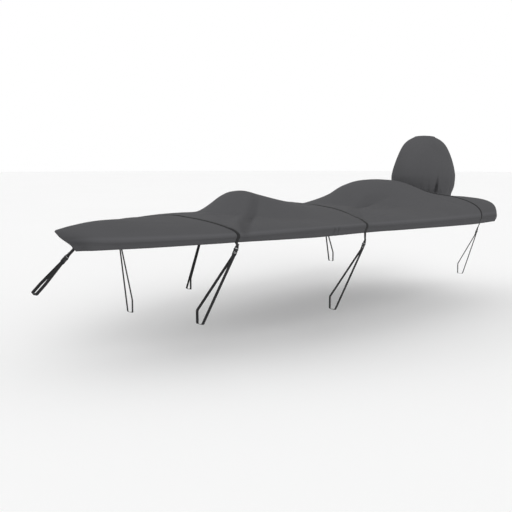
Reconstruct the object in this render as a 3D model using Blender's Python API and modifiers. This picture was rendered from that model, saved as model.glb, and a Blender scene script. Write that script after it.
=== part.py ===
"""Fitted boat cover with a motor hood and tie-down straps, in its worn, drawn-tight shape.

Frame: +X runs aft, +Y to starboard, +Z up, in metres. Stations are metres aft of the bow tip and
heights are metres above the ground. The origin lies on the underside of the top, on the centre
line, where whatever the cover is drawn over holds it up.
"""

import math

import bmesh
import bpy
from mathutils import Matrix, Vector

# Station of the frame's origin. Its height follows from the tables below.
ORIGIN_STATION = 2.60

# Cloth, webbing and the air between two pieces.
CLOTH = 0.0025
WEBBING = 0.0020
WEBBING_WIDTH = 0.025
AIR = 0.0004
STRAP_AIR = 0.0008

# The cover without its two peaks. A row for each section: station, half width at the edge line,
# heights of the hem, edge line and crown, and how square the section is across and at its shoulder.
SECTION_COLUMNS = ("station", "half_width", "hem", "edge", "crown", "square", "shoulder")
SECTIONS = (
    (0.00, 0.000, 0.930, 0.996, 1.082, 2.0, 1.8),
    (0.15, 0.100, 0.930, 0.994, 1.102, 2.0, 1.8),
    (0.40, 0.283, 0.930, 0.990, 1.113, 2.0, 1.8),
    (0.90, 0.558, 0.938, 0.992, 1.112, 2.1, 1.7),
    (1.20, 0.680, 0.940, 0.994, 1.106, 1.9, 1.7),
    (1.54, 0.785, 0.936, 0.998, 1.106, 1.9, 1.7),
    (2.00, 0.893, 0.930, 1.003, 1.076, 2.1, 1.8),
    (2.40, 0.952, 0.929, 0.998, 1.062, 2.3, 1.9),
    (2.75, 0.983, 0.923, 0.987, 1.080, 2.4, 1.9),
    (3.05, 0.995, 0.912, 0.978, 1.105, 2.4, 1.9),
    (3.50, 1.004, 0.897, 0.965, 1.080, 2.4, 1.9),
    (4.00, 1.009, 0.879, 0.953, 1.085, 2.4, 1.9),
    (4.40, 1.011, 0.866, 0.945, 1.122, 2.6, 2.0),
    (4.70, 1.012, 0.858, 0.940, 1.162, 2.9, 2.1),
    (5.20, 1.012, 0.855, 0.940, 1.114, 6.0, 3.0),
)

# The front and aft peaks: how far the cloth stands over the plain section on the centre line,
# and how far out from the centre line that reaches.
PEAK_COLUMNS = ("station", "rise", "spread")
PEAKS = (
    (1.53, 0.000, 0.05),
    (1.60, 0.036, 0.08),
    (1.70, 0.094, 0.15),
    (1.80, 0.152, 0.24),
    (1.90, 0.194, 0.33),
    (2.00, 0.200, 0.42),
    (2.15, 0.181, 0.55),
    (2.35, 0.148, 0.72),
    (2.57, 0.104, 0.86),
    (2.80, 0.064, 0.60),
    (3.02, 0.010, 0.25),
    (3.15, 0.042, 0.14),
    (3.47, 0.138, 0.24),
    (3.80, 0.214, 0.42),
    (4.05, 0.232, 0.60),
    (4.20, 0.221, 0.72),
    (4.45, 0.183, 0.74),
    (4.70, 0.112, 0.50),
    (4.95, 0.030, 0.40),
    (5.20, 0.000, 0.36),
)

# Drawn-in creases on each side, from the peaks to where a strap pulls the edge down:
# start and end as station and distance from the centre line, depth and half width.
CREASE_COLUMNS = ("start", "end", "depth", "half_width")
CREASES = (
    ((1.95, 0.16), (1.24, 0.67), 0.012, 0.070),
    ((2.62, 0.86), (4.02, 0.24), 0.010, 0.100),
)

# Stem of the bow: the tip stands forward at TIP_HEIGHT and the stem rakes aft below it.
TIP_HEIGHT = 1.074
TIP_FORWARD = 0.020
STEM_RAKE = 0.960
STEM_REACH = 0.16

# Skirt below the edge line, as shares of its drop, and how far the cloth is drawn in there.
SIDE_SKIRT = ((0.22, -0.001), (0.55, 0.008), (1.00, 0.020))
STERN_SKIRT = ((0.22, -0.030), (0.55, -0.044), (1.00, -0.012))
STERN_STATION = 5.20
STERN_ROUNDING = 0.030
STERN_SQUARE = 10

# Grid of the top: stations between which rows are evenly spaced, and half the number of columns.
ROW_SPANS = (
    (0.00, 0.05, 1), (0.05, 0.35, 4), (0.35, 1.1525, 7), (1.1525, 1.1775, 1), (1.1775, 1.50, 3),
    (1.50, 2.10, 9), (2.10, 2.60, 5), (2.60, 2.9475, 4), (2.9475, 2.9725, 1), (2.9725, 3.90, 8),
    (3.90, 4.55, 5), (4.55, 4.7775, 3), (4.7775, 4.8025, 1), (4.8025, 5.20, 4),
)
HALF_COLUMNS = 13
COLUMN_CROWDING = 1.55

# The mid strap's rows bend forward from the centre line to the edge line.
MID_STATION = 2.96
SWEEP_COLUMNS = ("power", "reach")
MID_SWEEP = ((2, 0.49), (8, -0.06))
MID_SWEEP_REACH = 1.0

# Straps over the top: station on the centre line, the top and foot of the port buckle's line,
# and the centre of the bar that its loop goes round, as station, distance out and height.
STRAP_COLUMNS = ("name", "station", "buckle_top", "buckle_foot", "bar")
STRAPS = (
    ("fore", 1.165, (1.170, 0.645, 0.906), (1.145, 0.625, 0.823), (1.030, 0.390, 0.355)),
    ("mid", MID_STATION, (2.527, 0.940, 0.848), (2.479, 0.915, 0.723), (2.205, 0.832, 0.350)),
    ("aft", 4.79, (4.764, 0.975, 0.795), (4.752, 0.956, 0.720), (4.690, 0.830, 0.370)),
)
BAR_HALF_WIDTH = 0.027
BAR_HALF_HEIGHT = 0.052
BAR_CORNER = 0.010

# Quick-release buckle: across the webbing, along it, and its thickness.
BUCKLE_ACROSS = 0.038
BUCKLE_ALONG = 0.066
BUCKLE_THICK = 0.013
BUCKLE_ROUNDING = 0.004

# Bow strap: height of its sewn end on the stem, where the buckle begins, and the post it ends on.
BOW_SEWN_HEIGHT = 0.936
BOW_BUCKLE_TOP = (0.090, 0.893)
BOW_POST = (-0.165, 0.692)
BOW_POST_HALF_WIDTH = 0.025
BOW_POST_HALF_DEPTH = 0.048

# Motor hood: centre and half sizes of its widest ring, then its girth at heights above the ground.
HOOD_STATION = 5.405
HOOD_HALF_LENGTH = 0.455
HOOD_HALF_WIDTH = 0.320
HOOD_SQUARE = 2.25
HOOD_SIDES = 48
HOOD_COLUMNS = ("height", "girth")
HOOD_RINGS = (
    (1.205, 0.972),
    (1.260, 0.994),
    (1.320, 1.000),
    (1.400, 0.960),
    (1.480, 0.905),
    (1.560, 0.832),
    (1.640, 0.742),
    (1.703, 0.640),
    (1.751, 0.500),
    (1.782, 0.340),
    (1.798, 0.165),
)
HOOD_TOP = 1.804
HOOD_SEAT_GIRTH = 0.955
HOOD_RIM_FRONT = 1.140
HOOD_RIM_BACK = 1.065
HOOD_BACK_DRAW = 0.150
HOOD_TUCKS = ((0.62, 0.030, 0.13), (2.30, 0.012, 0.16), (-0.62, 0.022, 0.15), (1.50, 0.010, 0.12))
HOOD_TUCK_TOP = 1.43
HOOD_MOUTH_BOTTOM = 0.80
HOOD_MOUTH_TOP = 1.30

# Base colours as linear values, roughness.
CLOTH_COLOUR = (0.098, 0.098, 0.102, 1.0)
WEBBING_COLOUR = (0.012, 0.012, 0.013, 1.0)
BUCKLE_COLOUR = (0.015, 0.015, 0.016, 1.0)


class SmoothTable:
    """A value read along a short table, on a curve that doesn't overshoot its rows."""

    def __init__(self, keys, values):
        self.keys = list(keys)
        self.values = list(values)
        gaps = [b - a for a, b in zip(self.keys, self.keys[1:])]
        slopes = [(b - a) / g for a, b, g in zip(self.values, self.values[1:], gaps)]
        inner = [
            0.0 if a * b <= 0 else 2 * a * b / (a + b)
            for a, b in zip(slopes, slopes[1:])
        ]
        self.slopes = [slopes[0], *inner, slopes[-1]]

    def at(self, key):
        key = min(max(key, self.keys[0]), self.keys[-1])
        row = max(i for i, k in enumerate(self.keys[:-1]) if k <= key)
        gap = self.keys[row + 1] - self.keys[row]
        u = (key - self.keys[row]) / gap
        start, end = self.values[row], self.values[row + 1]
        leave, arrive = self.slopes[row] * gap, self.slopes[row + 1] * gap
        return (
            start * (1 + 2 * u) * (1 - u) ** 2
            + leave * u * (1 - u) ** 2
            + end * u * u * (3 - 2 * u)
            + arrive * u * u * (u - 1)
        )


def columns_of(rows, names):
    """One SmoothTable for each named column after the first."""
    stations = [row[0] for row in rows]
    return {
        name: SmoothTable(stations, [row[index] for row in rows])
        for index, name in enumerate(names)
        if index > 0
    }


SECTION = columns_of(SECTIONS, SECTION_COLUMNS)
PEAK = columns_of(PEAKS, PEAK_COLUMNS)


def origin_height():
    """Height of the underside of the top at the frame's origin."""
    station, step = ORIGIN_STATION, 0.01
    slope = (top_height(station + step, 0) - top_height(station - step, 0)) / (2 * step)
    return top_height(station, 0) - CLOTH * math.hypot(1, slope)


def smoothstep(value):
    value = min(max(value, 0.0), 1.0)
    return value * value * (3 - 2 * value)


def place(station, across, height):
    """A point of the part's frame from station, distance to starboard and height."""
    return Vector((station - ORIGIN_STATION, across, height - ORIGIN_HEIGHT))


def above_ground(point):
    return point.z + ORIGIN_HEIGHT


def crease_depth(station, across):
    """How far the drawn-in creases lower the cloth at a point."""
    depth = 0.0
    here = Vector((station, abs(across)))
    for start, end, deepest, half_width in CREASES:
        start, along = Vector(start), Vector(end) - Vector(start)
        share = (here - start).dot(along) / along.length_squared
        side = abs((here - start).cross(along)) / along.length
        if 0 < share < 1 and side < half_width:
            ends = math.sin(math.pi * share) ** 0.5
            depth += deepest * ends * math.cos(0.5 * math.pi * side / half_width) ** 2
    return depth


def top_height(station, share):
    """Height of the top at a station, share being -1 to 1 from the port edge to starboard."""
    half_width, edge = SECTION["half_width"].at(station), SECTION["edge"].at(station)
    crown = SECTION["crown"].at(station)
    share = min(abs(share), 1.0)
    arch = (1 - share ** SECTION["square"].at(station)) ** (1 / SECTION["shoulder"].at(station))
    height = edge + (crown - edge) * arch
    across = share * half_width
    if PEAKS[0][0] < station < PEAKS[-1][0]:
        out = min(across / PEAK["spread"].at(station), 1.0)
        height += PEAK["rise"].at(station) * (1 - out * out) ** 2
    return height - crease_depth(station, across)


ORIGIN_HEIGHT = origin_height()


def stem_shift(station, height):
    """How far aft a point near the bow moves for the raked stem."""
    reach = math.exp(-((station / STEM_REACH) ** 2))
    return reach * (STEM_RAKE * max(0.0, TIP_HEIGHT - height) - TIP_FORWARD)


def sweep_at(share):
    """Station of the mid strap less MID_STATION, and its slope against share."""
    share = min(abs(share), 1.0)
    sweep = -sum(reach * share**power for power, reach in MID_SWEEP)
    slope = -sum(reach * power * share ** (power - 1) for power, reach in MID_SWEEP)
    return sweep, slope


def swept_station(station, share):
    """Bends the rows round MID_STATION forward, so that two of them are the mid strap's edges."""
    away = station - MID_STATION
    if abs(away) >= MID_SWEEP_REACH:
        return station
    near = 1 - smoothstep((abs(away) - 0.5 * WEBBING_WIDTH) / MID_SWEEP_REACH)
    sweep, slope = sweep_at(share)
    widening = (math.hypot(1, slope) - 1) * (1 - smoothstep(abs(away) / 0.3))
    return station + near * sweep + away * widening


def row_stations():
    stations = [ROW_SPANS[0][0]]
    for start, end, count in ROW_SPANS:
        stations += [start + (end - start) * (i + 1) / count for i in range(count)]
    return stations


def column_shares():
    """Shares from -1 to 1, crowded towards the edge lines where the cloth turns down."""
    half = [
        1 - (1 - i / HALF_COLUMNS) ** COLUMN_CROWDING for i in range(HALF_COLUMNS + 1)
    ]
    return [-share for share in reversed(half[1:])] + half


def stern_bow(share):
    """How far the stern edge stands forward of STERN_STATION near its rounded corners."""
    return STERN_ROUNDING * abs(share) ** STERN_SQUARE


def top_point(station, share):
    """A point of the cover's top."""
    if station >= STERN_STATION - 0.30:
        station -= stern_bow(share) * smoothstep((station - STERN_STATION + 0.30) / 0.30)
    true_station = swept_station(station, share)
    height = top_height(true_station, share)
    across = share * SECTION["half_width"].at(true_station)
    return place(true_station + stem_shift(true_station, height), across, height)


def skirt_point(station, share, ring):
    """A point of the skirt on a side, in one of its rings from the edge line to the hem."""
    drop, drawn_in = SIDE_SKIRT[ring]
    edge = top_point(station, share)
    hem = SECTION["hem"].at(min(edge.x + ORIGIN_STATION, STERN_STATION))
    height = above_ground(edge) + (hem - above_ground(edge)) * drop
    narrow = min(1.0, abs(edge.y) / 0.25)
    across = edge.y - math.copysign(drawn_in * narrow, share)
    shift = stem_shift(station, height) - stem_shift(station, above_ground(edge))
    return Vector((edge.x + shift, across, height - ORIGIN_HEIGHT))


def stern_point(share, ring):
    """A point of the skirt over the stern; at the corners it is drawn in like the sides."""
    drop, drawn_in = STERN_SKIRT[ring]
    edge = top_point(STERN_STATION, share)
    height = above_ground(edge) + (SECTION["hem"].at(STERN_STATION) - above_ground(edge)) * drop
    corner = abs(share) ** STERN_SQUARE
    across = edge.y - math.copysign(SIDE_SKIRT[ring][1] * corner, share)
    return Vector((edge.x - drawn_in * (1 - 0.3 * corner), across, height - ORIGIN_HEIGHT))


def skirt_ring(stations, shares, ring):
    """Points of one skirt ring, from the stem down the port side, over the stern and back."""
    port = [skirt_point(station, -1, ring) for station in stations[:-1]]
    stern = [stern_point(share, ring) for share in shares]
    starboard = [skirt_point(station, 1, ring) for station in reversed(stations[1:-1])]
    return port + stern + starboard


def parts_collection(name):
    collection = bpy.data.collections.new(name)
    bpy.context.scene.collection.children.link(collection)
    return collection


def material(name, colour, roughness):
    made = bpy.data.materials.new(name)
    made.use_nodes = True
    shader = made.node_tree.nodes["Principled BSDF"]
    shader.inputs["Base Color"].default_value = colour
    shader.inputs["Roughness"].default_value = roughness
    shader.inputs["Metallic"].default_value = 0.0
    return made


def object_from(mesh_maker, name, finish, collection):
    """A linked object from a finished bmesh, shaded smooth but for its sharp edges."""
    mesh = bpy.data.meshes.new(name)
    mesh_maker.to_mesh(mesh)
    mesh_maker.free()
    mesh.materials.append(finish)
    mesh.shade_smooth()
    mesh.set_sharp_from_angle(angle=math.radians(40))
    made = bpy.data.objects.new(name, mesh)
    collection.objects.link(made)
    return made


def thicken(thing, thickness, offset):
    """Gives an open sheet its thickness: offset -1 inwards, 1 outwards."""
    solidify = thing.modifiers.new("thickness", "SOLIDIFY")
    solidify.thickness = thickness
    solidify.offset = offset
    solidify.use_even_offset = True
    return solidify


def cover_sheet():
    """Open sheet of the cover's outer face: a grid for the top, with the skirt extruded from it."""
    stations, shares = row_stations(), column_shares()
    sheet = bmesh.new()
    bmesh.ops.create_grid(
        sheet, x_segments=len(stations) - 1, y_segments=len(shares) - 1, size=1.0
    )
    across_step = 2.0 / (len(shares) - 1)
    along_step = 2.0 / (len(stations) - 1)
    seat = {}
    for vertex in sheet.verts:
        row = round((vertex.co.x + 1) / along_step)
        column = round((vertex.co.y + 1) / across_step)
        seat[(row, column)] = vertex
    for (row, column), vertex in seat.items():
        vertex.co = top_point(stations[row], shares[column])
    last_row, last_column = len(stations) - 1, len(shares) - 1
    loop = [seat[(row, 0)] for row in range(last_row)]
    loop += [seat[(last_row, column)] for column in range(last_column + 1)]
    loop += [seat[(row, last_column)] for row in range(last_row - 1, 0, -1)]
    stem_twin = seat[(0, last_column)]
    previous = loop + [stem_twin]
    for ring in range(len(SIDE_SKIRT)):
        points = skirt_ring(stations, shares, ring)
        points.append(points[0])
        fresh = [sheet.verts.new(point) for point in points]
        for here in range(len(points) - 1):
            corners = (previous[here], fresh[here], fresh[here + 1], previous[here + 1])
            sheet.faces.new(corners)
        previous = fresh
    bmesh.ops.remove_doubles(sheet, verts=sheet.verts, dist=1e-5)
    bmesh.ops.recalc_face_normals(sheet, faces=sheet.faces)
    return sheet


def upward(sheet):
    """Turns a sheet over if its top faces down."""
    highest = max(sheet.faces, key=lambda face: face.calc_center_median().z)
    if highest.normal.z < 0:
        bmesh.ops.reverse_faces(sheet, faces=sheet.faces)


def hood_point(angle, girth, height, extra=0.0):
    """A point of the hood's ring; angle 0 is aft and a quarter turn is to port."""
    cosine, sine = math.cos(angle), math.sin(angle)
    power = 2 / HOOD_SQUARE
    along = math.copysign(abs(cosine) ** power, cosine) * HOOD_HALF_LENGTH
    out = math.copysign(abs(sine) ** power, sine) * HOOD_HALF_WIDTH
    reach = girth + extra
    return place(HOOD_STATION + along * reach, -out * reach, height)


def hood_tuck(angle, height):
    """How far the hood's gathered folds draw it in, deepest at its seam."""
    depth = 0.0
    for centre, deepest, half_angle in HOOD_TUCKS:
        away = abs((angle - centre + math.pi) % (2 * math.pi) - math.pi)
        if away < half_angle:
            depth += deepest * math.cos(0.5 * math.pi * away / half_angle) ** 2
    fade = smoothstep((HOOD_TUCK_TOP - height) / (HOOD_TUCK_TOP - HOOD_RINGS[0][0]))
    return depth * fade / HOOD_HALF_LENGTH


def hood_sheet():
    """Open sheet of the hood's outer face, from its seat in the cover to its crown."""
    sheet = bmesh.new()
    angles = [2 * math.pi * i / HOOD_SIDES for i in range(HOOD_SIDES)]
    rings = []
    rim = []
    for angle in angles:
        front = 0.5 - 0.5 * math.cos(angle)
        height = HOOD_RIM_BACK + (HOOD_RIM_FRONT - HOOD_RIM_BACK) * front
        draw = HOOD_BACK_DRAW * smoothstep(1 - 2 * front)
        rim.append(hood_point(angle, HOOD_SEAT_GIRTH - draw, height))
    rings.append(rim)
    for height, girth in HOOD_RINGS:
        ring = []
        for angle in angles:
            clear = 0.0 if height > HOOD_RINGS[0][0] else HOOD_SEAT_GIRTH - girth
            tuck = hood_tuck(angle, height) if height > HOOD_RINGS[0][0] else 0.0
            ring.append(hood_point(angle, girth - tuck, height, clear))
        rings.append(ring)
    previous = None
    for ring in rings:
        fresh = [sheet.verts.new(point) for point in ring]
        if previous is not None:
            for here in range(HOOD_SIDES):
                after = (here + 1) % HOOD_SIDES
                sheet.faces.new((previous[here], previous[after], fresh[after], fresh[here]))
        previous = fresh
    crown = sheet.verts.new(place(HOOD_STATION, 0, HOOD_TOP))
    for here in range(HOOD_SIDES):
        sheet.faces.new((previous[here], previous[(here + 1) % HOOD_SIDES], crown))
    bmesh.ops.recalc_face_normals(sheet, faces=sheet.faces)
    upward(sheet)
    return sheet


def hood_mouth(collection, finish):
    """Cutter for the hole in the cover that the hood's seat stands in."""
    cutter = bmesh.new()
    grow = AIR / HOOD_HALF_WIDTH
    low, high = [], []
    for i in range(HOOD_SIDES):
        angle = 2 * math.pi * i / HOOD_SIDES
        low.append(cutter.verts.new(hood_point(angle, HOOD_SEAT_GIRTH, HOOD_MOUTH_BOTTOM, grow)))
        high.append(cutter.verts.new(hood_point(angle, HOOD_SEAT_GIRTH, HOOD_MOUTH_TOP, grow)))
    for here in range(HOOD_SIDES):
        after = (here + 1) % HOOD_SIDES
        cutter.faces.new((low[here], low[after], high[after], high[here]))
    cutter.faces.new(low)
    cutter.faces.new(high)
    bmesh.ops.recalc_face_normals(cutter, faces=cutter.faces)
    made = object_from(cutter, "hood_mouth_cutter", finish, collection)
    made.hide_render = True
    made.display_type = "WIRE"
    return made


def strap_edges(station):
    """The two rows of surface points under a strap, each from the port hem to the starboard hem."""
    shares, rings = column_shares(), range(len(SIDE_SKIRT))
    edges = []
    for offset in (-0.5 * WEBBING_WIDTH, 0.5 * WEBBING_WIDTH):
        row = station + offset
        port = [skirt_point(row, -1, ring) for ring in reversed(rings)]
        starboard = [skirt_point(row, 1, ring) for ring in rings]
        edges.append(port + [top_point(row, share) for share in shares] + starboard)
    return edges


def lifted(edges, height):
    """Raises two rows of surface points off the cloth along the strap's own normals."""
    first, second = edges
    count = len(first)
    raised = ([], [])
    for i in range(count):
        before, after = max(i - 1, 0), min(i + 1, count - 1)
        along = (first[after] + second[after]) - (first[before] + second[before])
        across = second[i] - first[i]
        normal = across.cross(along).normalized()
        bend_in = (first[i] - first[before]).normalized()
        bend_out = (first[after] - first[i]).normalized()
        sharpness = max(0.7, math.sqrt(max(0.0, (1 + bend_in.dot(bend_out)) / 2)))
        for row, point in zip(raised, (first[i], second[i])):
            row.append(point + normal * height / sharpness)
    return raised


def ribbon(first, second, closed=False):
    """A flat band between two rows of points."""
    band = bmesh.new()
    rows = [[band.verts.new(point) for point in row] for row in (first, second)]
    count = len(first)
    for i in range(count if closed else count - 1):
        after = (i + 1) % count
        band.faces.new((rows[0][i], rows[0][after], rows[1][after], rows[1][i]))
    band.normal_update()
    band.faces.ensure_lookup_table()
    return band


def axes_matrix(origin, across, down):
    """Frame at origin with X across the webbing, Z up along it and Y out of its face."""
    up = -down
    face = up.cross(across).normalized()
    matrix = Matrix((across, face, up)).transposed().to_4x4()
    matrix.translation = origin
    return matrix


def buckle(name, start, down, across, finish, collection):
    """Body of a quick-release buckle that begins at start and runs down the strap."""
    body = bmesh.new()
    bmesh.ops.create_cube(body, size=1.0)
    bmesh.ops.scale(body, vec=(BUCKLE_ACROSS, BUCKLE_THICK, BUCKLE_ALONG), verts=body.verts)
    bmesh.ops.bevel(
        body, geom=body.edges[:], offset=BUCKLE_ROUNDING, segments=2, profile=0.5,
        affect="EDGES", material=-1,
    )
    made = object_from(body, name, finish, collection)
    centre = start + down * (AIR + BUCKLE_ALONG / 2)
    made.matrix_world = axes_matrix(centre, across, down)
    return start + down * (2 * AIR + BUCKLE_ALONG)


def rounded_corners(points, radius, steps=3):
    """A closed path with each corner but the first and last turned into an arc."""
    path = [points[0]]
    for before, corner, after in zip(points, points[1:], points[2:]):
        entry = corner + (before - corner).normalized() * radius
        leave = corner + (after - corner).normalized() * radius
        for step in range(steps + 1):
            u = step / steps
            path.append(entry * (1 - u) ** 2 + corner * 2 * u * (1 - u) + leave * u * u)
    return path + [points[-1]]


def pulled_tight(start, split, bar, lateral, upright):
    """Corners of a band drawn tight from two points either side of start round a bar.

    lateral and upright are the bar's half width and half height as vectors.
    """
    corners = [
        bar + lateral + upright, bar + lateral - upright,
        bar - lateral - upright, bar - lateral + upright,
    ]
    path = [start + split, *corners, start - split]
    plane = (lateral.normalized(), upright.normalized())
    flat = [Vector([(point - bar).dot(axis) for axis in plane]) for point in path]
    taut = False
    while not taut:
        taut = True
        for i in range(1, len(path) - 1):
            turn = (flat[i] - flat[i - 1]).cross(flat[i + 1] - flat[i])
            if turn > -1e-9:
                del path[i], flat[i]
                taut = False
                break
    return path


def loop_round(name, start, split, across, bar, lateral, upright, finish, collection):
    """Closed band of webbing from under a buckle round a bar."""
    path = rounded_corners(pulled_tight(start, split, bar, lateral, upright), BAR_CORNER)
    half = across * WEBBING_WIDTH / 2
    band = ribbon([point - half for point in path], [point + half for point in path], closed=True)
    bmesh.ops.recalc_face_normals(band, faces=band.faces)
    lowest = min(band.faces, key=lambda face: face.calc_center_median().z)
    outward = lowest.normal.dot(lowest.calc_center_median() - bar) > 0
    made = object_from(band, name, finish, collection)
    thicken(made, WEBBING, 1 if outward else -1)


def clasp(names, top, down, across, bar, lateral, upright, finishes, collection):
    """A buckle that begins at top and runs down its strap, and the loop from it round a bar."""
    buckle_name, loop_name = names
    foot = buckle(buckle_name, top, down, across, finishes["buckle"], collection)
    split = down.cross(across).normalized() * (0.5 * BUCKLE_THICK - WEBBING)
    if split.dot(lateral) < 0:
        split = -split
    loop_round(
        loop_name, foot + down * WEBBING, split, across, bar, lateral, upright,
        finishes["webbing"], collection,
    )


def strap_over_top(row, finishes, collection):
    """One strap over the cover with the buckle and loop at each of its two ends."""
    name, station, buckle_top, buckle_foot, bar = row
    first, second = (list(edge) for edge in lifted(strap_edges(station), STRAP_AIR))
    ends = []
    for side, word, end in ((-1, "port", 0), (1, "starboard", -1)):
        top, foot, centre = (
            place(point[0], side * point[1], point[2]) for point in (buckle_top, buckle_foot, bar)
        )
        down = (foot - top).normalized()
        across = second[end] - first[end]
        across = (across - down * across.dot(down)).normalized()
        ends.append((side, top, across))
        face = down.cross(across)
        outward = face if face.y * side > 0 else -face
        clasp(
            (f"buckle_{name}_{word}", f"loop_{name}_{word}"),
            top + outward * 0.5 * WEBBING, down, across, centre,
            Vector((0, side * BAR_HALF_WIDTH, 0)), Vector((0, 0, BAR_HALF_HEIGHT)),
            finishes, collection,
        )
    half = WEBBING_WIDTH / 2
    first.insert(0, ends[0][1] - ends[0][2] * half)
    second.insert(0, ends[0][1] + ends[0][2] * half)
    first.append(ends[1][1] - ends[1][2] * half)
    second.append(ends[1][1] + ends[1][2] * half)
    band = ribbon(first, second)
    upward(band)
    made = object_from(band, f"strap_{name}", finishes["webbing"], collection)
    thicken(made, WEBBING, 1)


def bow_strap(finishes, collection):
    """Strap sewn on the stem, on edge in the centre plane, with its buckle and the post's loop."""
    sewn = place(stem_shift(0, BOW_SEWN_HEIGHT), 0, BOW_SEWN_HEIGHT)
    stem = (place(stem_shift(0, BOW_SEWN_HEIGHT - 0.02), 0, BOW_SEWN_HEIGHT - 0.02) - sewn)
    stem.normalize()
    top = place(BOW_BUCKLE_TOP[0], 0, BOW_BUCKLE_TOP[1])
    post = place(BOW_POST[0], 0, BOW_POST[1])
    down = (post - top).normalized()
    across = Vector((down.z, 0, -down.x))
    if across.dot(stem) < 0:
        across = -across
    forward = Vector((stem.z, 0, -stem.x))
    sewn += forward * 1.5 * AIR
    half = WEBBING_WIDTH / 2
    band = ribbon(
        [sewn - stem * half, top - across * half], [sewn + stem * half, top + across * half]
    )
    made = object_from(band, "strap_bow", finishes["webbing"], collection)
    thicken(made, WEBBING, 0)
    clasp(
        ("buckle_bow", "loop_bow"), top, down, across, post,
        Vector((0, BOW_POST_HALF_WIDTH, 0)), -down * BOW_POST_HALF_DEPTH, finishes, collection,
    )


def build():
    for old in list(bpy.data.objects):
        bpy.data.objects.remove(old)
    parts = parts_collection("boat_cover")
    cutters = parts_collection("cutters")
    finishes = {
        "cloth": material("charcoal_polyester", CLOTH_COLOUR, 0.85),
        "webbing": material("black_webbing", WEBBING_COLOUR, 0.75),
        "buckle": material("black_acetal", BUCKLE_COLOUR, 0.40),
    }
    sheet = cover_sheet()
    upward(sheet)
    cover = object_from(sheet, "cover_body", finishes["cloth"], parts)
    thicken(cover, CLOTH, -1)
    mouth = cover.modifiers.new("hood_mouth", "BOOLEAN")
    mouth.operation = "DIFFERENCE"
    mouth.solver = "EXACT"
    mouth.object = hood_mouth(cutters, finishes["cloth"])
    hood = object_from(hood_sheet(), "motor_hood", finishes["cloth"], parts)
    thicken(hood, CLOTH, -1)
    for row in STRAPS:
        strap_over_top(row, finishes, parts)
    bow_strap(finishes, parts)


build()
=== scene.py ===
"""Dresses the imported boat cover: cloth, raised hood, webbing, buckles, finishes, light, camera.

Frame: +X runs aft, +Y to starboard, +Z up, in metres. Stations are metres aft of the bow tip and
heights are metres above the ground, as in the part's source, whose tables are repeated here.
"""

import logging
import math
from bisect import bisect_right
from dataclasses import dataclass, field, replace
from enum import Enum
from functools import cached_property
from typing import Callable, Iterable, Sequence

import bmesh
import bpy
from bmesh.types import BMesh, BMLayerItem, BMVert
from bpy.types import Material, Node, NodeSocket, NodeTree, Object
from mathutils import Matrix, Vector


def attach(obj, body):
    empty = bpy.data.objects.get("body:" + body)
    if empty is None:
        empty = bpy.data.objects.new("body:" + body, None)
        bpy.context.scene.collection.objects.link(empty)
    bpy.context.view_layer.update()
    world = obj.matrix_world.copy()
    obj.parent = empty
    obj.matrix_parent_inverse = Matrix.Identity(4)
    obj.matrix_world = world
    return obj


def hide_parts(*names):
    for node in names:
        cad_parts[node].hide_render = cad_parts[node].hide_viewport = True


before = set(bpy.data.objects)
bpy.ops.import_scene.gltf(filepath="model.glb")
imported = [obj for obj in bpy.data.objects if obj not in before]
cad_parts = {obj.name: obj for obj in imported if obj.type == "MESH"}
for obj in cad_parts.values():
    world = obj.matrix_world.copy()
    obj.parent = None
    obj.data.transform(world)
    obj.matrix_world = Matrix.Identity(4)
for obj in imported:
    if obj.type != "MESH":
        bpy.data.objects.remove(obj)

Pair = tuple[float, float]
Triple = tuple[float, float, float]
Quad = tuple[float, float, float, float]
Span = tuple[float, float, int]

LOG = logging.getLogger("boat_cover")
BODY = "root"

# The frame's origin: its station, and the height of the underside of the top there.
ORIGIN_STATION = 2.60
ORIGIN_HEIGHT = 1.165893645480834

# Cloth and webbing, as in the part's source.
CLOTH = 0.0025
WEBBING = 0.0020
WEBBING_WIDTH = 0.025
# What an attribute of the cloth says where the hem or seam that it is measured from is far off.
FAR_OFF = 1.0

# Station, half width at the edge line, heights of hem, edge line and crown, and how square the
# section is across and at its shoulder.
SECTION_COLUMNS = ("station", "half_width", "hem", "edge", "crown", "square", "shoulder")
SECTIONS = (
    (0.00, 0.000, 0.930, 0.996, 1.082, 2.0, 1.8),
    (0.15, 0.100, 0.930, 0.994, 1.102, 2.0, 1.8),
    (0.40, 0.283, 0.930, 0.990, 1.113, 2.0, 1.8),
    (0.90, 0.558, 0.938, 0.992, 1.112, 2.1, 1.7),
    (1.20, 0.680, 0.940, 0.994, 1.106, 1.9, 1.7),
    (1.54, 0.785, 0.936, 0.998, 1.106, 1.9, 1.7),
    (2.00, 0.893, 0.930, 1.003, 1.076, 2.1, 1.8),
    (2.40, 0.952, 0.929, 0.998, 1.062, 2.3, 1.9),
    (2.75, 0.983, 0.923, 0.987, 1.080, 2.4, 1.9),
    (3.05, 0.995, 0.912, 0.978, 1.105, 2.4, 1.9),
    (3.50, 1.004, 0.897, 0.965, 1.080, 2.4, 1.9),
    (4.00, 1.009, 0.879, 0.953, 1.085, 2.4, 1.9),
    (4.40, 1.011, 0.866, 0.945, 1.122, 2.6, 2.0),
    (4.70, 1.012, 0.858, 0.940, 1.162, 2.9, 2.1),
    (5.20, 1.012, 0.855, 0.940, 1.114, 6.0, 3.0),
)
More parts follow.
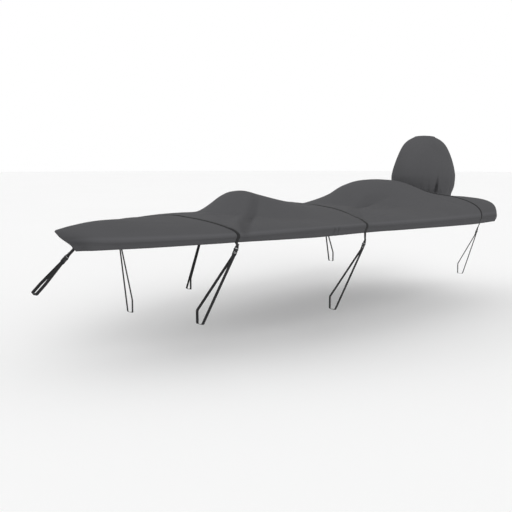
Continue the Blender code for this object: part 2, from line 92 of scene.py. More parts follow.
# Station, how far a peak rises over the plain section, and how far out it spreads.
PEAK_COLUMNS = ("station", "rise", "spread")
PEAKS = (
    (1.53, 0.000, 0.05),
    (1.60, 0.042, 0.15),
    (1.70, 0.110, 0.23),
    (1.80, 0.166, 0.30),
    (1.90, 0.198, 0.36),
    (2.00, 0.206, 0.42),
    (2.15, 0.181, 0.55),
    (2.35, 0.140, 0.72),
    (2.57, 0.097, 0.80),
    (2.80, 0.057, 0.58),
    (3.02, 0.007, 0.25),
    (3.15, 0.029, 0.15),
    (3.47, 0.120, 0.25),
    (3.80, 0.208, 0.42),
    (4.05, 0.232, 0.60),
    (4.20, 0.221, 0.72),
    (4.45, 0.183, 0.74),
    (4.70, 0.112, 0.50),
    (4.95, 0.030, 0.40),
    (5.20, 0.000, 0.36),
)


def smoothstep(value: float) -> float:
    """A soft step from 0 to 1 as value goes from 0 to 1."""
    value = min(max(value, 0.0), 1.0)
    return value * value * (3 - 2 * value)


def soft_hump(away: float, half_width: float) -> float:
    """A smooth hump of height 1.

    Args:
        away: distance from its middle.
        half_width: where it is gone.

    Returns:
        Its height there.
    """
    if abs(away) >= half_width:
        return 0.0
    return math.cos(0.5 * math.pi * away / half_width) ** 2


def place(station: float, across: float, height: float) -> Vector:
    """A point of the frame from station, distance to starboard and height."""
    return Vector((station - ORIGIN_STATION, across, height - ORIGIN_HEIGHT))


def linear_colour(code: str) -> Quad:
    """Linear colour of an sRGB hex code.

    Args:
        code: six hex digits, such as "5A5A5D".

    Returns:
        Red, green and blue as linear values, and an alpha of 1.
    """
    parts = [int(code[i:i + 2], 16) / 255 for i in (0, 2, 4)]
    linear = [c / 12.92 if c <= 0.04045 else ((c + 0.055) / 1.055) ** 2.4 for c in parts]
    return (linear[0], linear[1], linear[2], 1.0)


class Side(Enum):
    """Port or starboard, as the sign of Y."""

    PORT = -1
    STARBOARD = 1

    @property
    def word(self) -> str:
        """The side's name in the names of pieces."""
        return self.name.lower()


class Slot(Enum):
    """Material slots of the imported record."""

    CLOTH = "cover_cloth"
    WEBBING = "black_webbing"
    BUCKLE = "black_buckle"


class SmoothTable:
    """A value read along a short table, on a curve that doesn't overshoot its rows."""

    def __init__(self, keys: Sequence[float], values: Sequence[float]) -> None:
        """Works out the slope at each row.

        Args:
            keys: rising keys.
            values: the value at each key.
        """
        self.keys = list(keys)
        self.values = list(values)
        gaps = [b - a for a, b in zip(self.keys, self.keys[1:])]
        slopes = [(b - a) / g for a, b, g in zip(self.values, self.values[1:], gaps)]
        inner = [
            0.0 if a * b <= 0 else 2 * a * b / (a + b) for a, b in zip(slopes, slopes[1:])
        ]
        self.slopes = [slopes[0], *inner, slopes[-1]]

    def at(self, key: float) -> float:
        """Reads the table.

        Args:
            key: where to read it.

        Returns:
            The value there, held at the table's ends.
        """
        key = min(max(key, self.keys[0]), self.keys[-1])
        row = min(bisect_right(self.keys, key), len(self.keys) - 1) - 1
        gap = self.keys[row + 1] - self.keys[row]
        u = (key - self.keys[row]) / gap
        leave, arrive = self.slopes[row] * gap, self.slopes[row + 1] * gap
        return (
            self.values[row] * (1 + 2 * u) * (1 - u) ** 2
            + leave * u * (1 - u) ** 2
            + self.values[row + 1] * u * u * (3 - 2 * u)
            + arrive * u * u * (u - 1)
        )


def columns_of(rows: Sequence[Sequence[float]], names: Sequence[str]) -> dict[str, SmoothTable]:
    """Reads a table of rows by its columns.

    Args:
        rows: the table, with its key first in each row.
        names: the columns' names, the key's too.

    Returns:
        A SmoothTable for each column after the key's.
    """
    keys, *columns = zip(*rows)
    return {name: SmoothTable(keys, column) for name, column in zip(names[1:], columns)}


def spaced(spans: Sequence[Span]) -> list[float]:
    """Values along spans that follow one another.

    Args:
        spans: the start, the end and the number of steps of each.

    Returns:
        The first start and the end of every step.
    """
    values = [spans[0][0]]
    for start, end, count in spans:
        values += [start + (end - start) * (i + 1) / count for i in range(count)]
    return values


def crowded_shares(half_count: int, crowding: float) -> list[float]:
    """Shares from -1 to 1, the same both sides of 0 and closer together at the ends."""
    half = [1 - (1 - i / half_count) ** crowding for i in range(half_count + 1)]
    return [-share for share in reversed(half[1:])] + half


@dataclass(frozen=True)
class SoftFold:
    """A trough that a pull puts in the cloth along a few points, with a roll beside it.

    The path is given as station and distance to starboard. A negative depth makes a ridge.
    """

    path: tuple[Pair, ...]
    depth: float
    half_width: float
    roll: float = 0.0
    roll_side: float = 1.0
    fade_in: float = 0.25
    fade_out: float = 0.25
    widening: float = 0.0
    steep: float = 1.0
    # painted shade laid along the fold's trough, as a darkening of the cloth's colour
    shade: float = 0.0
    # the roll's place and half width, and the farthest that the fold reaches, in half widths
    roll_away: float = 1.15
    roll_half_width: float = 1.1
    farthest: float = 2.6
    # how much of its shift a mirrored path loses from each point to the next
    shift_loss: float = 0.5

    @cached_property
    def points(self) -> list[Vector]:
        """The path's points as vectors."""
        return [Vector(point) for point in self.path]

    @cached_property
    def length(self) -> float:
        """The path's length."""
        return sum((b - a).length for a, b in zip(self.points, self.points[1:]))

    @cached_property
    def limits(self) -> Quad:
        """What the fold reaches.

        Returns:
            The lowest and highest station, and the lowest and highest distance to starboard.
        """
        reach = self.half_width * (1 + max(self.widening, 0.0)) * self.farthest
        stations = [point.x for point in self.points]
        across = [point.y for point in self.points]
        return (
            min(stations) - reach, max(stations) + reach, min(across) - reach, max(across) + reach,
        )

    def nearest(self, here: Vector) -> Pair:
        """Finds the path's nearest point.

        Args:
            here: station and distance to starboard.

        Returns:
            Signed distance from the path, and the share of its length at that point.
        """
        best, best_share, gone = math.inf, 0.0, 0.0
        signed = 0.0
        for start, end in zip(self.points, self.points[1:]):
            along = end - start
            share = min(max((here - start).dot(along) / along.length_squared, 0.0), 1.0)
            away = here - (start + along * share)
            if away.length < best:
                best = away.length
                signed = math.copysign(best, along.cross(away))
                best_share = (gone + share * along.length) / self.length
            gone += along.length
        return signed, best_share

    def reach(self, station: float, across: float) -> Triple | None:
        """Where a point lies in the fold.

        Args:
            station: metres aft of the bow tip.
            across: metres to starboard.

        Returns:
            Signed distance from the path, half width and strength there, or nothing outside it.
        """
        low_s, high_s, low_a, high_a = self.limits
        if not (low_s < station < high_s and low_a < across < high_a):
            return None
        signed, share = self.nearest(Vector((station, across)))
        width = self.half_width * (1 + self.widening * share)
        if signed * self.roll_side > 0:
            width *= self.steep
        strength = smoothstep(share / self.fade_in) * smoothstep((1 - share) / self.fade_out)
        return signed, width, strength

    def crease(self, station: float, across: float) -> float:
        """How far the fold darkens the cloth at a point, as painted shade in its trough."""
        found = self.reach(station, across) if self.shade else None
        return self.shade * soft_hump(found[0], found[1]) * found[2] if found else 0.0

    def lift(self, station: float, across: float) -> float:
        """Height that the fold adds to the cloth at a point.

        Args:
            station: metres aft of the bow tip.
            across: metres to starboard.

        Returns:
            The height, below 0 in a trough.
        """
        found = self.reach(station, across)
        if found is None:
            return 0.0
        signed, width, strength = found
        value = -self.depth * soft_hump(signed, width)
        if self.roll:
            away = signed - self.roll_away * width * self.roll_side
            value += self.roll * soft_hump(away, self.roll_half_width * width)
        return value * strength

    def mirrored(self, share: float, shift: float) -> "SoftFold":
        """The same fold on the other side, a little changed.

        Args:
            share: its strength there as a share of this one's.
            shift: how far aft its path starts.

        Returns:
            The fold of the other side.
        """
        path = tuple(
            (station + shift * (1 - self.shift_loss * i), -across)
            for i, (station, across) in enumerate(self.path)
        )
        return replace(
            self, path=path, depth=self.depth * share, half_width=self.half_width * (2 - share),
            roll=self.roll * share, roll_side=-self.roll_side, shade=self.shade * share,
        )


# Folds of the port half, where the distance to starboard is negative. After its path each row
# has depth, half width, roll, the roll's side, fade in, fade out, widening, steepness and shade.
PORT_FOLDS = (
    # from the front peak's corner down its foot and out to the fore strap
    SoftFold(((2.12, -0.09), (1.99, -0.165), (1.88, -0.235), (1.77, -0.29), (1.55, -0.43),
              (1.365, -0.545), (1.235, -0.655), (1.21, -0.735)), 0.016, 0.056, 0.008, -1, 0.17,
             0.03, 0.35, 0.75, 0.20),
    SoftFold(((1.48, -0.50), (1.34, -0.585), (1.225, -0.68), (1.20, -0.76)),
             0.004, 0.060, 0.0, 1, 0.4, 0.04, 0.0, 1.0, 0.17),
    SoftFold(((1.38, -0.03), (1.47, 0.04), (1.58, 0.13)), 0.010, 0.050, 0.0, 1, 0.3, 0.3,
             0.0, 1.0, 0.08),
    SoftFold(((1.46, 0.02), (1.60, -0.12), (1.74, -0.23)), -0.010, 0.110, 0.0, 1, 0.3, 0.3),
    SoftFold(((1.56, -0.02), (1.50, -0.16), (1.38, -0.33), (1.26, -0.46)), 0.004, 0.060, 0.002, 1),
    SoftFold(((2.25, -0.46), (2.05, -0.64), (1.92, -0.80)), 0.004, 0.070, 0.002, 1),
    # from the mid strap's edge aft and up to the aft peak
    SoftFold(((2.62, -0.86), (2.81, -0.68), (3.20, -0.43), (3.55, -0.30), (3.92, -0.31)),
             0.016, 0.085, 0.008, -1, 0.12, 0.25, 0.5, 0.8, 0.10),
    SoftFold(((3.30, -0.38), (3.70, -0.27), (3.86, -0.30), (4.08, -0.40)), 0.011, 0.090, 0.015,
             -1, 0.4, 0.4, 0.0, 0.9, 0.13),
    # the dip in front of the mid strap, and pulls behind it and before it
    SoftFold(((2.44, -0.44), (2.64, -0.27), (2.84, -0.09)), 0.020, 0.130, 0.0, 1, 0.3, 0.2),
    SoftFold(((3.10, -0.72), (3.50, -0.58), (3.95, -0.50)), 0.004, 0.080, 0.002, -1, 0.35, 0.35),
    SoftFold(((2.66, -0.90), (2.95, -0.86), (3.35, -0.85)), 0.004, 0.045, 0.002, -1, 0.10, 0.50),
    SoftFold(((2.36, -0.90), (2.15, -0.80), (1.98, -0.62)), 0.0015, 0.070, 0.0, 1, 0.15, 0.40),
    # beside the hood
    SoftFold(((4.36, -0.50), (4.48, -0.64), (4.54, -0.86)), 0.006, 0.060, 0.003, 1, 0.35, 0.20),
    SoftFold(((4.93, -0.33), (4.86, -0.56), (4.83, -0.80)), 0.005, 0.050, 0.003, -1),
    SoftFold(((5.16, -0.40), (5.08, -0.58), (5.00, -0.82)), 0.005, 0.045, 0.003, 1, 0.15, 0.35),
    # faint pulls between the bow tip and the fore strap
    SoftFold(((0.20, -0.04), (0.62, -0.20), (1.05, -0.46)), 0.0016, 0.070, 0.001, 1, 0.35, 0.35),
    SoftFold(((0.30, -0.16), (0.62, -0.34), (0.98, -0.55)), 0.0014, 0.050, 0.001, -1, 0.35, 0.35),
    # under the edge line at the bow, where the skirt turns in to the stem
    SoftFold(((0.03, -0.015), (0.16, -0.10), (0.38, -0.26)), 0.003, 0.040, 0.0, 1, 0.30, 0.50),
)
# How the folds of the starboard half differ from the port ones: share of their strength, where 0
# leaves one out, and shift aft.
STARBOARD_CHANGES = (
    (0.85, 0.03), (1.10, -0.02), (0.00, 0.05), (0.90, 0.02), (0.70, 0.04), (1.20, -0.05),
    (0.90, 0.04), (1.20, 0.08), (0.80, 0.06), (1.10, 0.03), (0.90, 0.04), (1.15, -0.03),
    (0.85, -0.02), (1.10, 0.06), (0.90, 0.12), (0.90, 0.01), (0.80, -0.06), (0.90, 0.03),
)


@dataclass(frozen=True)
class CoverShape:
    """The drawn-tight shape of the cover's outer face."""

    # the bow: its tip, the raked and hollow stem, and the hem that its strap pulls down
    tip_height: float = 1.074
    tip_forward: float = 0.020
    stem_rake: float = 0.960
    stem_reach: float = 0.16
    stem_belly: float = 0.034
    stem_belly_heights: Pair = (1.038, 0.955)
    tip_rounding: float = 0.010
    tip_rounding_reach: float = 0.016
    bow_hem_dip: float = 0.014
    bow_hem_reach: float = 0.22
    # the stern and its two corners
    stern_station: float = 5.20
    stern_rounding: float = 0.030
    stern_square: float = 10
    stern_ease: float = 0.30
    stern_corner_ease: float = 0.3
    # the rows bend forward round the mid strap
    mid_station: float = 2.96
    mid_sweep: tuple[Pair, ...] = ((2, 0.49), (8, -0.06))
    mid_sweep_reach: float = 1.0
    mid_widening_reach: float = 0.3
    # the source's drawn-in creases: start, end, depth and half width
    creases: tuple[tuple[Pair, Pair, float, float], ...] = (
        ((1.95, 0.16), (1.24, 0.67), 0.012, 0.070), ((2.62, 0.86), (4.02, 0.24), 0.010, 0.100),
    )
    # how far the skirts are drawn in, by the share of their drop
    side_drops: tuple[Pair, ...] = (
        (0.0, 0.0), (0.22, -0.001), (0.55, 0.008), (1.00, 0.020),
    )
    stern_drops: tuple[Pair, ...] = (
        (0.0, 0.0), (0.22, -0.030), (0.55, -0.044), (1.00, -0.012),
    )
    # flanks of the peaks, and the faint ridge along the front of the cover
    flank_reach: float = 1.732
    flank_power: float = 6
    ridge: float = 0.009
    ridge_half_width: float = 0.11
    ridge_rise: float = 0.5
    ridge_end: float = 1.62
    ridge_fall: float = 0.25
    # folds and unevenness fade out at the edge lines and at the bow
    calm_power: int = 8
    calm_share: float = 0.7
    calm_bow: float = 0.25
    # height, turns by station, turns across and start of each slow wave
    wander_waves: tuple[Quad, ...] = (
        (0.00110, 6.1, 2.3, 0.4), (0.00088, 3.7, -7.9, 1.9),
        (0.00066, 11.3, 5.2, 2.7), (0.00055, 2.1, 13.1, 0.9),
    )
    # height, turns, and how far, how fast and from where its phase swings, of each gather
    gather_waves: tuple[tuple[float, float, float, float, float], ...] = (
        (0.00090, 41.0, 1.3, 5.3, 0.0), (0.00063, 67.0, 2.1, 3.1, 1.0),
        (0.00045, 17.0, 0.6, 0.0, 0.5 * math.pi),
    )
    gather_drop: float = 0.9
    gather_shift: float = 0.37
    # the skirt turns in below the edge line, most of all near the bow
    skirt_tuck: float = 0.003
    bow_tuck: float = 0.007
    bow_tuck_reach: float = 0.42
    tuck_drop: float = 0.8
    narrow_reach: float = 0.25
    # two upright puckers in the skirt ahead of the mid strap, and the ridge between them
    pucker_stations: Pair = (2.160, 2.250)
    pucker_depth: float = 0.006
    pucker_half_width: float = 0.028
    pucker_ridge: Triple = (2.205, 0.004, 0.030)
    pucker_lean: float = 0.040
    pucker_drops: Pair = (-0.25, 0.45)
    # the straps press the cloth down, and it bunches up behind the mid strap
    pressed_stations: tuple[float, ...] = (1.165, 2.96, 4.79)
    press_depth: float = 0.0012
    press_flat: float = 0.014
    press_reach: float = 0.034
    press_turn: float = 6
    bunch_height: float = 0.010
    bunch_behind: float = 0.040
    bunch_half_width: float = 0.060
    bunch_share: float = 0.625
    # the seat of the hood, and the cloth raised round it by their seam
    hood_centre: float = 5.405
    hood_half: Pair = (0.455, 0.320)
    hood_square: float = 2.25
    seat_girth: float = 0.955
    seam_lift: float = 0.007
    seam_lift_reach: float = 0.045
    seam_lift_inside: float = 0.03

    @cached_property
    def section(self) -> dict[str, SmoothTable]:
        """The plain sections' columns."""
        return columns_of(SECTIONS, SECTION_COLUMNS)

    @cached_property
    def peak(self) -> dict[str, SmoothTable]:
        """The peaks' columns."""
        return columns_of(PEAKS, PEAK_COLUMNS)

    @cached_property
    def side_drop(self) -> SmoothTable:
        """How far the side skirt is drawn in, by its share of the drop."""
        return SmoothTable(*zip(*self.side_drops))

    @cached_property
    def stern_drop(self) -> SmoothTable:
        """How far the stern skirt is drawn in, by its share of the drop."""
        return SmoothTable(*zip(*self.stern_drops))

    @cached_property
    def folds(self) -> list[SoftFold]:
        """The folds of both halves."""
        changed = [f.mirrored(*c) for f, c in zip(PORT_FOLDS, STARBOARD_CHANGES)]
        return [*PORT_FOLDS, *changed]

    def crease_depth(self, station: float, across: float) -> float:
        """How far the source's drawn-in creases lower the cloth.

        Args:
            station: metres aft of the bow tip.
            across: metres to starboard.

        Returns:
            Their depth at that point.
        """
        depth = 0.0
        here = Vector((station, abs(across)))
        for start, end, deepest, half_width in self.creases:
            first, along = Vector(start), Vector(end) - Vector(start)
            share = (here - first).dot(along) / along.length_squared
            side = abs((here - first).cross(along)) / along.length
            if 0 < share < 1 and side < half_width:
                ends = math.sin(math.pi * share) ** 0.5
                depth += deepest * ends * soft_hump(side, half_width)
        return depth

    def wander(self, station: float, across: float) -> float:
        """Slow, shallow unevenness of cloth drawn over uneven things.

        Args:
            station: metres aft of the bow tip.
            across: metres to starboard.

        Returns:
            The height that it adds.
        """
        return sum(
            height * math.sin(by_station * station + by_across * across + start)
            for height, by_station, by_across, start in self.wander_waves
        )

    def hood_distance(self, station: float, across: float) -> float:
        """Roughly how far a point lies outside the hood's seat.

        Args:
            station: metres aft of the bow tip.
            across: metres to starboard.

        Returns:
            The distance, negative inside the seat.
        """
        half_length, half_width = (half * self.seat_girth for half in self.hood_half)
        u, v = abs(station - self.hood_centre) / half_length, abs(across) / half_width
        reach = (u**self.hood_square + v**self.hood_square) ** (1 / self.hood_square)
        return (reach - 1) * half_width

    def height(self, station: float, share: float) -> float:
        """Height of the top at a true station, with its folds.

        Args:
            station: metres aft of the bow tip.
            share: -1 to 1 from port to starboard.

        Returns:
            Metres above the ground.
        """
        section, peak = self.section, self.peak
        edge, crown = section["edge"].at(station), section["crown"].at(station)
        size = min(abs(share), 1.0)
        arch = (1 - size ** section["square"].at(station)) ** (1 / section["shoulder"].at(station))
        height = edge + (crown - edge) * arch
        across = share * section["half_width"].at(station)
        if PEAKS[0][0] < station < PEAKS[-1][0]:
            out = min(abs(across) / peak["spread"].at(station), self.flank_reach)
            flank = (1 - (out / self.flank_reach) ** 2) ** self.flank_power
            height += peak["rise"].at(station) * flank
        ridge = self.ridge * math.exp(-((across / self.ridge_half_width) ** 2))
        ridge *= smoothstep(station / self.ridge_rise)
        height += ridge * smoothstep((self.ridge_end - station) / self.ridge_fall)
        height -= self.crease_depth(station, across)
        loose = smoothstep(station / self.calm_bow)
        edge_calm = size**self.calm_power
        height += self.wander(station, across) * (1 - edge_calm) * loose
        folded = sum(fold.lift(station, across) for fold in self.folds)
        height += folded * (1 - self.calm_share * edge_calm) * loose
        if station < self.tip_rounding_reach:
            height -= self.tip_rounding * (1 - station / self.tip_rounding_reach) ** 2 * (1 - size)
        away = self.hood_distance(station, across)
        if -self.seam_lift_inside < away < self.seam_lift_reach:
            height += self.seam_lift * (1 - max(away, 0.0) / self.seam_lift_reach) ** 2
        return height

    def stem_shift(self, station: float, height: float) -> float:
        """How far aft a point near the bow moves for the raked, hollow stem.

        Args:
            station: metres aft of the bow tip, before the move.
            height: metres above the ground.

        Returns:
            The distance aft.
        """
        reach = math.exp(-((station / self.stem_reach) ** 2))
        high, low = self.stem_belly_heights
        belly = self.stem_belly * smoothstep((high - height) / (high - low))
        rake = self.stem_rake * max(0.0, self.tip_height - height)
        return reach * (rake + belly - self.tip_forward)

    def hem_height(self, station: float) -> float:
        """Height of the hem, which the bow strap pulls down a little at the stem."""
        dip = self.bow_hem_dip * math.exp(-((station / self.bow_hem_reach) ** 2))
        return self.section["hem"].at(min(station, self.stern_station)) - dip

    def swept(self, station: float, share: float) -> float:
        """True station of a point of a row, which bends forward round the mid strap.

        Args:
            station: the row's station.
            share: -1 to 1 from port to starboard.

        Returns:
            The point's station.
        """
        away = station - self.mid_station
        if abs(away) >= self.mid_sweep_reach:
            return station
        size = min(abs(share), 1.0)
        sweep = -sum(reach * size**power for power, reach in self.mid_sweep)
        slope = -sum(reach * power * size ** (power - 1) for power, reach in self.mid_sweep)
        near = 1 - smoothstep((abs(away) - 0.5 * WEBBING_WIDTH) / self.mid_sweep_reach)
        widening = (math.hypot(1, slope) - 1) * (
            1 - smoothstep(abs(away) / self.mid_widening_reach)
        )
        return station + near * sweep + away * widening

    def press(self, station: float) -> float:
        """How deep a strap that crosses a row presses the cloth.

        Args:
            station: the row's station.

        Returns:
            The depth.
        """
        nearest = min(abs(station - pressed) for pressed in self.pressed_stations)
        beyond = (nearest - self.press_flat) / (self.press_reach - self.press_flat)
        return self.press_depth * (1 - smoothstep(beyond))

    def bunch(self, station: float, share: float) -> float:
        """How far the cloth bunches up behind the mid strap."""
        behind = soft_hump(station - self.mid_station - self.bunch_behind, self.bunch_half_width)
        return self.bunch_height * behind * (1 - smoothstep(abs(share) / self.bunch_share))

    def top(self, station: float, share: float) -> Vector:
        """A point of the top.

        Args:
            station: the row's station.
            share: -1 to 1 from port to starboard.

        Returns:
            The point on the cloth's outer face.
        """
        row, ease_from = station, self.stern_station - self.stern_ease
        if station >= ease_from:
            bow = self.stern_rounding * abs(share) ** self.stern_square
            station -= bow * smoothstep((station - ease_from) / self.stern_ease)
        true_station = self.swept(station, share)
        height = self.height(true_station, share)
        across = share * self.section["half_width"].at(true_station)
        point = place(true_station + self.stem_shift(true_station, height), across, height)
        point.z += self.bunch(row, share)
        edge = abs(share) ** self.press_turn
        return point - self.press(row) * Vector((0, math.copysign(edge, share), 1 - edge))

    def gather(self, along: float, drop: float) -> float:
        """How far outwards the elastic in the hem draws folds into the skirt.

        Args:
            along: metres along the hem.
            drop: 0 at the edge line to 1 at the hem.

        Returns:
            The distance, which is negative in a trough.
        """
        wave = sum(
            height * math.sin(turns * along + swing * math.sin(pace * along + start))
            for height, turns, swing, pace, start in self.gather_waves
        )
        return wave * smoothstep(drop / self.gather_drop)

    def puckered(self, station: float) -> float:
        """How far a station lies in one of the two puckers."""
        return sum(soft_hump(station - at, self.pucker_half_width) for at in self.pucker_stations)

    def pucker(self, station: float, drop: float) -> float:
        """How far outwards the puckers and the ridge between them move the skirt.

        Args:
            station: metres aft of the bow tip.
            drop: 0 at the edge line to 1 at the hem.

        Returns:
            The distance, which is negative in a pucker.
        """
        station -= self.pucker_lean * (drop - 0.5)
        middle, rise, half_width = self.pucker_ridge
        deep = self.pucker_depth * self.puckered(station)
        deep -= rise * soft_hump(station - middle, half_width)
        start, end = self.pucker_drops
        return -deep * smoothstep((drop - start) / (end - start))

    def painted_crease_shade(self, station: float, share: float) -> float:
        """How dark the painted shade in the folds makes the cloth of the top.

        Args:
            station: the row's station.
            share: -1 to 1 from port to starboard.

        Returns:
            The darkness, up to 1.
        """
        true_station = self.swept(station, share)
        across = share * self.section["half_width"].at(true_station)
        return min(1.0, sum(fold.crease(true_station, across) for fold in self.folds))

    def skirt(self, station: float, side: Side, drop: float) -> Vector:
        """A point of the side skirt.

        Args:
            station: the row's station.
            side: port or starboard.
            drop: 0 at the edge line to 1 at the hem.

        Returns:
            The point on the cloth's outer face.
        """
        edge = self.top(station, side.value)
        edge_height = edge.z + ORIGIN_HEIGHT
        hem = self.hem_height(edge.x + ORIGIN_STATION)
        height = edge_height + (hem - edge_height) * drop
        narrow = min(1.0, abs(edge.y) / self.narrow_reach)
        stir = self.gather(station + self.gather_shift * side.value, drop)
        stir += self.pucker(station, drop)
        near_bow = soft_hump(station - self.bow_tuck_reach, self.bow_tuck_reach)
        tuck = (self.skirt_tuck + self.bow_tuck * near_bow) * smoothstep(drop / self.tuck_drop)
        across = edge.y + side.value * narrow * (stir - self.side_drop.at(drop) - tuck)
        shift = self.stem_shift(station, height) - self.stem_shift(station, edge_height)
        return Vector((edge.x + shift, across, height - ORIGIN_HEIGHT))

    def stern(self, share: float, drop: float) -> Vector:
        """A point of the skirt over the stern, drawn in like the sides at its corners.

        Args:
            share: -1 to 1 from port to starboard.
            drop: 0 at the edge line to 1 at the hem.

        Returns:
            The point on the cloth's outer face.
        """
        edge = self.top(self.stern_station, share)
        edge_height = edge.z + ORIGIN_HEIGHT
        height = edge_height + (self.hem_height(self.stern_station) - edge_height) * drop
        corner = abs(share) ** self.stern_square
        across = edge.y - math.copysign(self.side_drop.at(drop) * corner, share)
        drawn_in = self.stern_drop.at(drop) * (1 - self.stern_corner_ease * corner)
        aft = self.gather(2 * share, drop) * (1 - corner) - drawn_in
        return Vector((edge.x + aft, across, height - ORIGIN_HEIGHT))


# Two inputs and the output of a Mix node for colours, whose names several of its sockets share.
MIX_FROM, MIX_TO, MIXED = 6, 7, 2


def add_node(
    tree: NodeTree,
    kind: str,
    settings: dict[str, str] | None = None,
    inputs: dict[str | int, object] | None = None,
    output: str | int = 0,
) -> NodeSocket:
    """Adds one node with its settings and links.

    Args:
        tree: the node tree.
        kind: the node's type, less the words that all shader nodes share.
        settings: attributes of the node.
        inputs: for each input, by name or number, its value or the socket that feeds it.
        output: which of its outputs is wanted, by name or number.

    Returns:
        That output.
    """
    node = tree.nodes.new(f"ShaderNode{kind}")
    for name, value in (settings or {}).items():
        setattr(node, name, value)
    for key, value in (inputs or {}).items():
        if isinstance(value, NodeSocket):
            tree.links.new(value, node.inputs[key])
        else:
            node.inputs[key].default_value = value
    return node.outputs[output]


@dataclass(frozen=True)
class Finish:
    """A finish: what the real material is, and how its node tree is made."""

    name: str = "finish"
    roughness: float = 0.6
    ior: float = 1.5
    specular: float = 0.35
    # strength and real depth of the relief that is left to the shading
    relief: float = 0.0
    depth: float = 0.0

    def start(self) -> tuple[Material, NodeTree, Node]:
        """Starts the material, with the finish's constants on its shader.

        Returns:
            The material, its node tree and its shader.
        """
        made = bpy.data.materials.new(self.name)
        made.use_nodes = True
        shader = made.node_tree.nodes["Principled BSDF"]
        constants = {
            "Metallic": 0.0, "Roughness": self.roughness, "IOR": self.ior,
            "Specular IOR Level": self.specular,
        }
        for name, value in constants.items():
            shader.inputs[name].default_value = value
        return made, made.node_tree, shader

    def ridges(
        self, tree: NodeTree, attribute: str, spacing: float
    ) -> NodeSocket:
        """Even ridges across one of the piece's own attributes.

        Args:
            tree: the node tree.
            attribute: the attribute's name.
            spacing: metres from crest to crest.

        Returns:
            A wave between -1 and 1.
        """
        distance = add_node(tree, "Attribute", {"attribute_name": attribute}, output="Fac")
        turns = add_node(
            tree, "Math", {"operation": "MULTIPLY"}, {0: distance, 1: 2 * math.pi / spacing}
        )
        return add_node(tree, "Math", {"operation": "SINE"}, {0: turns})

    def band(
        self,
        tree: NodeTree,
        attribute: str,
        middle: float,
        half_width: float,
        strength: float = 1.0,
    ) -> NodeSocket:
        """A band where one of the piece's own attributes is near a value.

        Args:
            tree: the node tree.
            attribute: the attribute's name.
            middle: its value in the band's middle.
            half_width: how far from there the band is gone.
            strength: the mask's value in the band's middle.

        Returns:
            A mask that falls evenly from the middle to 0.
        """
        distance = add_node(tree, "Attribute", {"attribute_name": attribute}, output="Fac")
        off = add_node(tree, "Math", {"operation": "SUBTRACT"}, {0: distance, 1: middle})
        size = add_node(tree, "Math", {"operation": "ABSOLUTE"}, {0: off})
        return add_node(
            tree, "MapRange", None,
            {"Value": size, "From Max": half_width, "To Min": strength, "To Max": 0.0},
        )

    def dress(
        self,
        tree: NodeTree,
        shader: Node,
        ground: str,
        tints: Iterable[tuple[NodeSocket, str]],
        height: NodeSocket | None = None,
    ) -> None:
        """Gives the shader its colour and its relief.

        Args:
            tree: the node tree.
            shader: the material's shader.
            ground: the first colour.
            tints: for each colour laid over it, how much of it shows, and the colour.
            height: what stands up in the relief, if there is any.
        """
        colour: object = linear_colour(ground)
        for share, code in tints:
            colour = add_node(
                tree, "Mix", {"data_type": "RGBA"},
                {"Factor": share, MIX_FROM: colour, MIX_TO: linear_colour(code)}, MIXED,
            )
        tree.links.new(colour, shader.inputs["Base Color"])
        if height is not None:
            bump = add_node(
                tree, "Bump", None,
                {"Strength": self.relief, "Distance": self.depth, "Height": height},
            )
            tree.links.new(bump, shader.inputs["Normal"])


